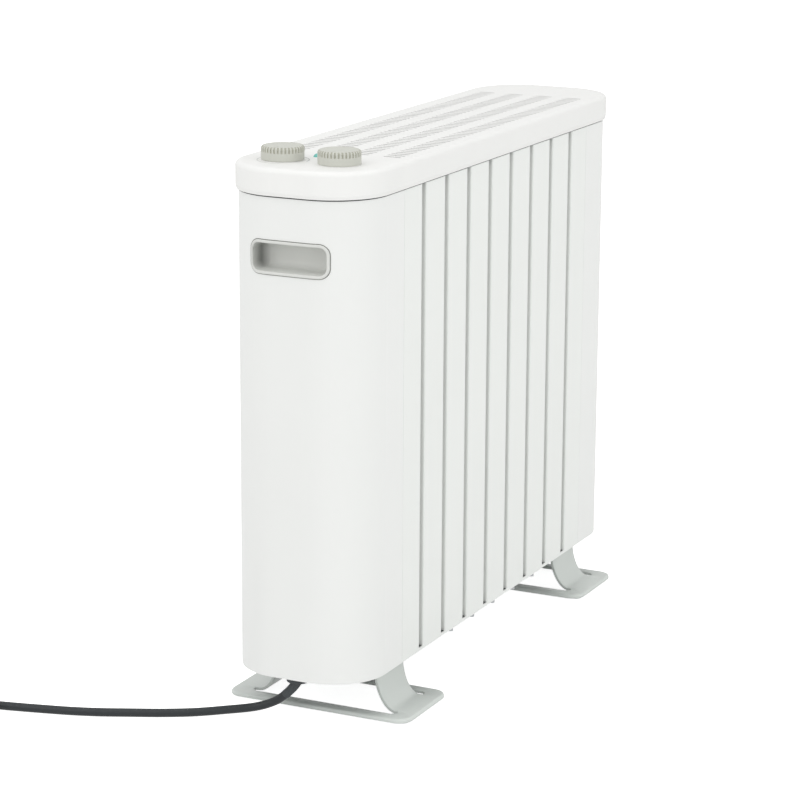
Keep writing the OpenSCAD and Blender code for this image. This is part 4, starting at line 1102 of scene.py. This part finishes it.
@dataclass
class FootPressing:
    """Pressed steel foot: a rimmed plate with a wide opening and two arms that curl up from its ends."""

    name: str
    node: str
    middle: Flat
    width: float = 82.0
    length: float = 164.0
    corner: float = 12.0
    sheet: float = 2.4
    low: float = 1.5
    top: float = 5.0
    fold: float = 2.0
    bar: float = 11.0
    front: float = 18.0
    rear: float = 21.0
    notch: float = 1.2
    relief: float = 3.0
    root_half: float = 23.0
    head_half: float = 25.0
    lean: float = 19.0
    curl: tuple[int, int, int] = (9, 73, 7)
    seat: float = 36.9
    flange: float = 19.0
    bend: float = 2.0
    edge: float = 0.45
    edge_from: float = 50.0
    crisp_from: float = 42.0
    across: tuple[float, ...] = (0.95, 0.89, 0.83, 0.8, 0.79, 0.6, 0.4, 0.2, 0.0)
    slot_from: float = 0.795
    along: int = 14

    def outline(self, half_x: float, front: float, rear: float, r: float, relief: float = 0.0) -> list[Flat]:
        """Returns an outline with the same count and order of points for every size.

        Args:
            half_x: half the width.
            front: lowest Y, towards the front.
            rear: highest Y.
            r: corner radius.
            relief: how far the slots beside the arms run past the ends.

        Returns:
            Points (x, y) from the middle of the foot, counter-clockwise.
        """
        cuts = [*self.across, *(-f for f in reversed(self.across[:-1]))]
        points: list[Flat] = []
        for sx, sy, start in ((1, 1, 0), (-1, 1, 90), (-1, -1, 180), (1, -1, 270)):
            y_end = rear if sy > 0 else front
            points += arc_points((sx * (half_x - r), y_end - sy * r), r, start, start + 90, 10)
            if start in (0, 180):
                for f in cuts:
                    reach = relief if abs(f) > self.slot_from else 0.0
                    points.append((sy * f * (half_x - r), y_end + sy * reach))
            else:
                steps = [(rear - r) + ((front + r) - (rear - r)) * k / self.along for k in range(1, self.along)]
                points += [(sx * half_x, y) for y in (steps if sx < 0 else reversed(steps))]
        return points

    def ring(self, loft: Loft, outline: Sequence[Flat], z: float) -> list[int]:
        """Adds an outline at height z to the loft."""
        x0, y0 = self.middle
        return loft.ring(mm(x0 + x, y0 + y, z) for x, y in outline)

    def inset(self, loft: Loft, inset: float, z: float) -> list[int]:
        """Adds the plate's outline, drawn in by inset, at height z."""
        half = self.length / 2 - inset
        return self.ring(loft, self.outline(self.width / 2 - inset, -half, half, self.corner - inset), z)

    def side(self, off: float) -> list[Flat]:
        """Returns an arm's side view from its root, off millimetres from its lower face."""
        path = []
        for degrees in range(*self.curl):
            t = math.radians(degrees)
            away = Vector((-self.seat * math.sin(t), self.lean * math.cos(t))).normalized() * off
            path.append((self.lean * math.sin(t) + away.x, self.seat * (1 - math.cos(t)) + away.y))
        head = self.seat - self.sheet
        path += arc_points((self.lean + self.bend, head - self.bend), self.bend + off, 180, 90, 5)
        return path + [(self.lean + self.flange, head + off)]

    def arm(self, loft: Loft, upper: Sequence[int], lower: Sequence[int], root: float, way: int) -> None:
        """Grows an arm from the plate's edge.

        Args:
            loft: the foot in the making.
            upper: points of the plate's upper edge across the root.
            lower: points of the lower edge, in the same order.
            root: the root's Y from the middle of the foot.
            way: 1 for the arm at the front, -1 for the one at the rear.
        """
        x0, y0 = self.middle
        parts = [(loft.points[i].x / MM - x0) / self.root_half for i in upper]
        rows = [(upper, lower)]
        for (y_low, z_low), (y_top, z_top) in zip(self.side(0.0), self.side(self.sheet)):
            half = self.root_half + (self.head_half - self.root_half) * smooth_step(z_low / self.seat)
            rows.append(tuple(loft.ring(mm(x0 + half * f, y0 + root + way * y, self.top - self.sheet + z)
                                        for f in parts) for y, z in ((y_top, z_top), (y_low, z_low))))
        for (top_a, low_a), (top_b, low_b) in zip(rows, rows[1:]):
            loft.bridge(top_a, top_b, False)
            loft.bridge(low_b, low_a, False)
            for k in (0, -1):
                loft.faces.append((top_a[k], low_a[k], low_b[k], top_b[k]))
        loft.bridge(rows[-1][0], rows[-1][1], False)

    def sheet_metal(self) -> Loft:
        """Returns the foot as one closed sheet, the plate with its opening and both arms."""
        loft = Loft()
        under = self.top - self.sheet
        roots = (-self.length / 2 + self.front, self.length / 2 - self.rear)
        opening = self.outline(self.width / 2 - self.bar, *roots, self.notch, self.relief)
        rings = [self.ring(loft, opening, under)]
        rings += [self.inset(loft, inset, z) for inset, z in (
            (self.sheet, under), (self.sheet, self.low), (0.0, self.low),
            *arc_points((self.fold, self.top - self.fold), self.fold, 180, 90, 5))]
        rings.append(self.ring(loft, opening, self.top))
        loft.through(rings)
        upper, lower = rings[-1], rings[0]
        gaps = [[i for i, (x, y) in enumerate(opening) if abs(y - root) < 1e-6 and abs(x) < self.root_half]
                for root in roots]
        for i in range(len(opening)):
            j = (i + 1) % len(opening)
            if not any(i in gap and j in gap for gap in gaps):
                loft.faces.append((upper[i], upper[j], lower[j], lower[i]))
        for gap, root, way in zip(gaps, roots, (1, -1)):
            self.arm(loft, [upper[i] for i in gap], [lower[i] for i in gap], root, way)
        return loft

    def ease(self, piece: Piece) -> None:
        """Turns the faces outward and rounds the sheet's edges a little."""
        work = bmesh.new()
        work.from_mesh(piece.data)
        bmesh.ops.recalc_face_normals(work, faces=work.faces)
        work.to_mesh(piece.data)
        work.free()
        bevel = piece.modifiers.new("ease", "BEVEL")
        bevel.width, bevel.segments = self.edge * MM, 2
        bevel.limit_method, bevel.angle_limit = "ANGLE", math.radians(self.edge_from)
        depsgraph = bpy.context.evaluated_depsgraph_get()
        eased, old = bpy.data.meshes.new_from_object(piece.evaluated_get(depsgraph)), piece.data
        piece.modifiers.clear()
        piece.data = eased
        bpy.data.meshes.remove(old)
        eased.set_sharp_from_angle(angle=math.radians(self.crisp_from))

    def build(self) -> None:
        """Makes the foot."""
        self.ease(self.sheet_metal().piece(self.name, ROOT_BODY, "grey_powder_coat", self.node))


# ---- whole scene


def dress_nodes() -> None:
    """Dresses each CAD node that keeps its shape with the finish of its slot."""
    slots = {part["node"]: part["material_slot"] for part in frame["record"]["subparts"]}
    for name, node in frame["nodes"].items():
        finish = PANEL_PAINT if name.endswith("_panel") else FINISHES[slots[name]]
        node.data.materials.clear()
        node.data.materials.append(finish.material())
        log.info("%s wears %s", name, finish.name)


def main() -> None:
    """Builds the scene in order: camera and lead first, then the pieces."""
    logging.basicConfig(level=logging.INFO, format="%(name)s: %(message)s")
    Studio().build()
    MainsLead().build(Plug(), CordBoot())
    dress_nodes()
    KnobPair().build()
    HandleCup(End.NEAR, "handle_cup_near").build()
    HandleCup(End.FAR, "handle_cup_far").build()
    FootPressing("foot_pressing_near", "foot_near", (-186.0, -3.0)).build()
    FootPressing("foot_pressing_far", "foot_far", (178.0, -3.0)).build()


if __name__ == "__main__":
    main()
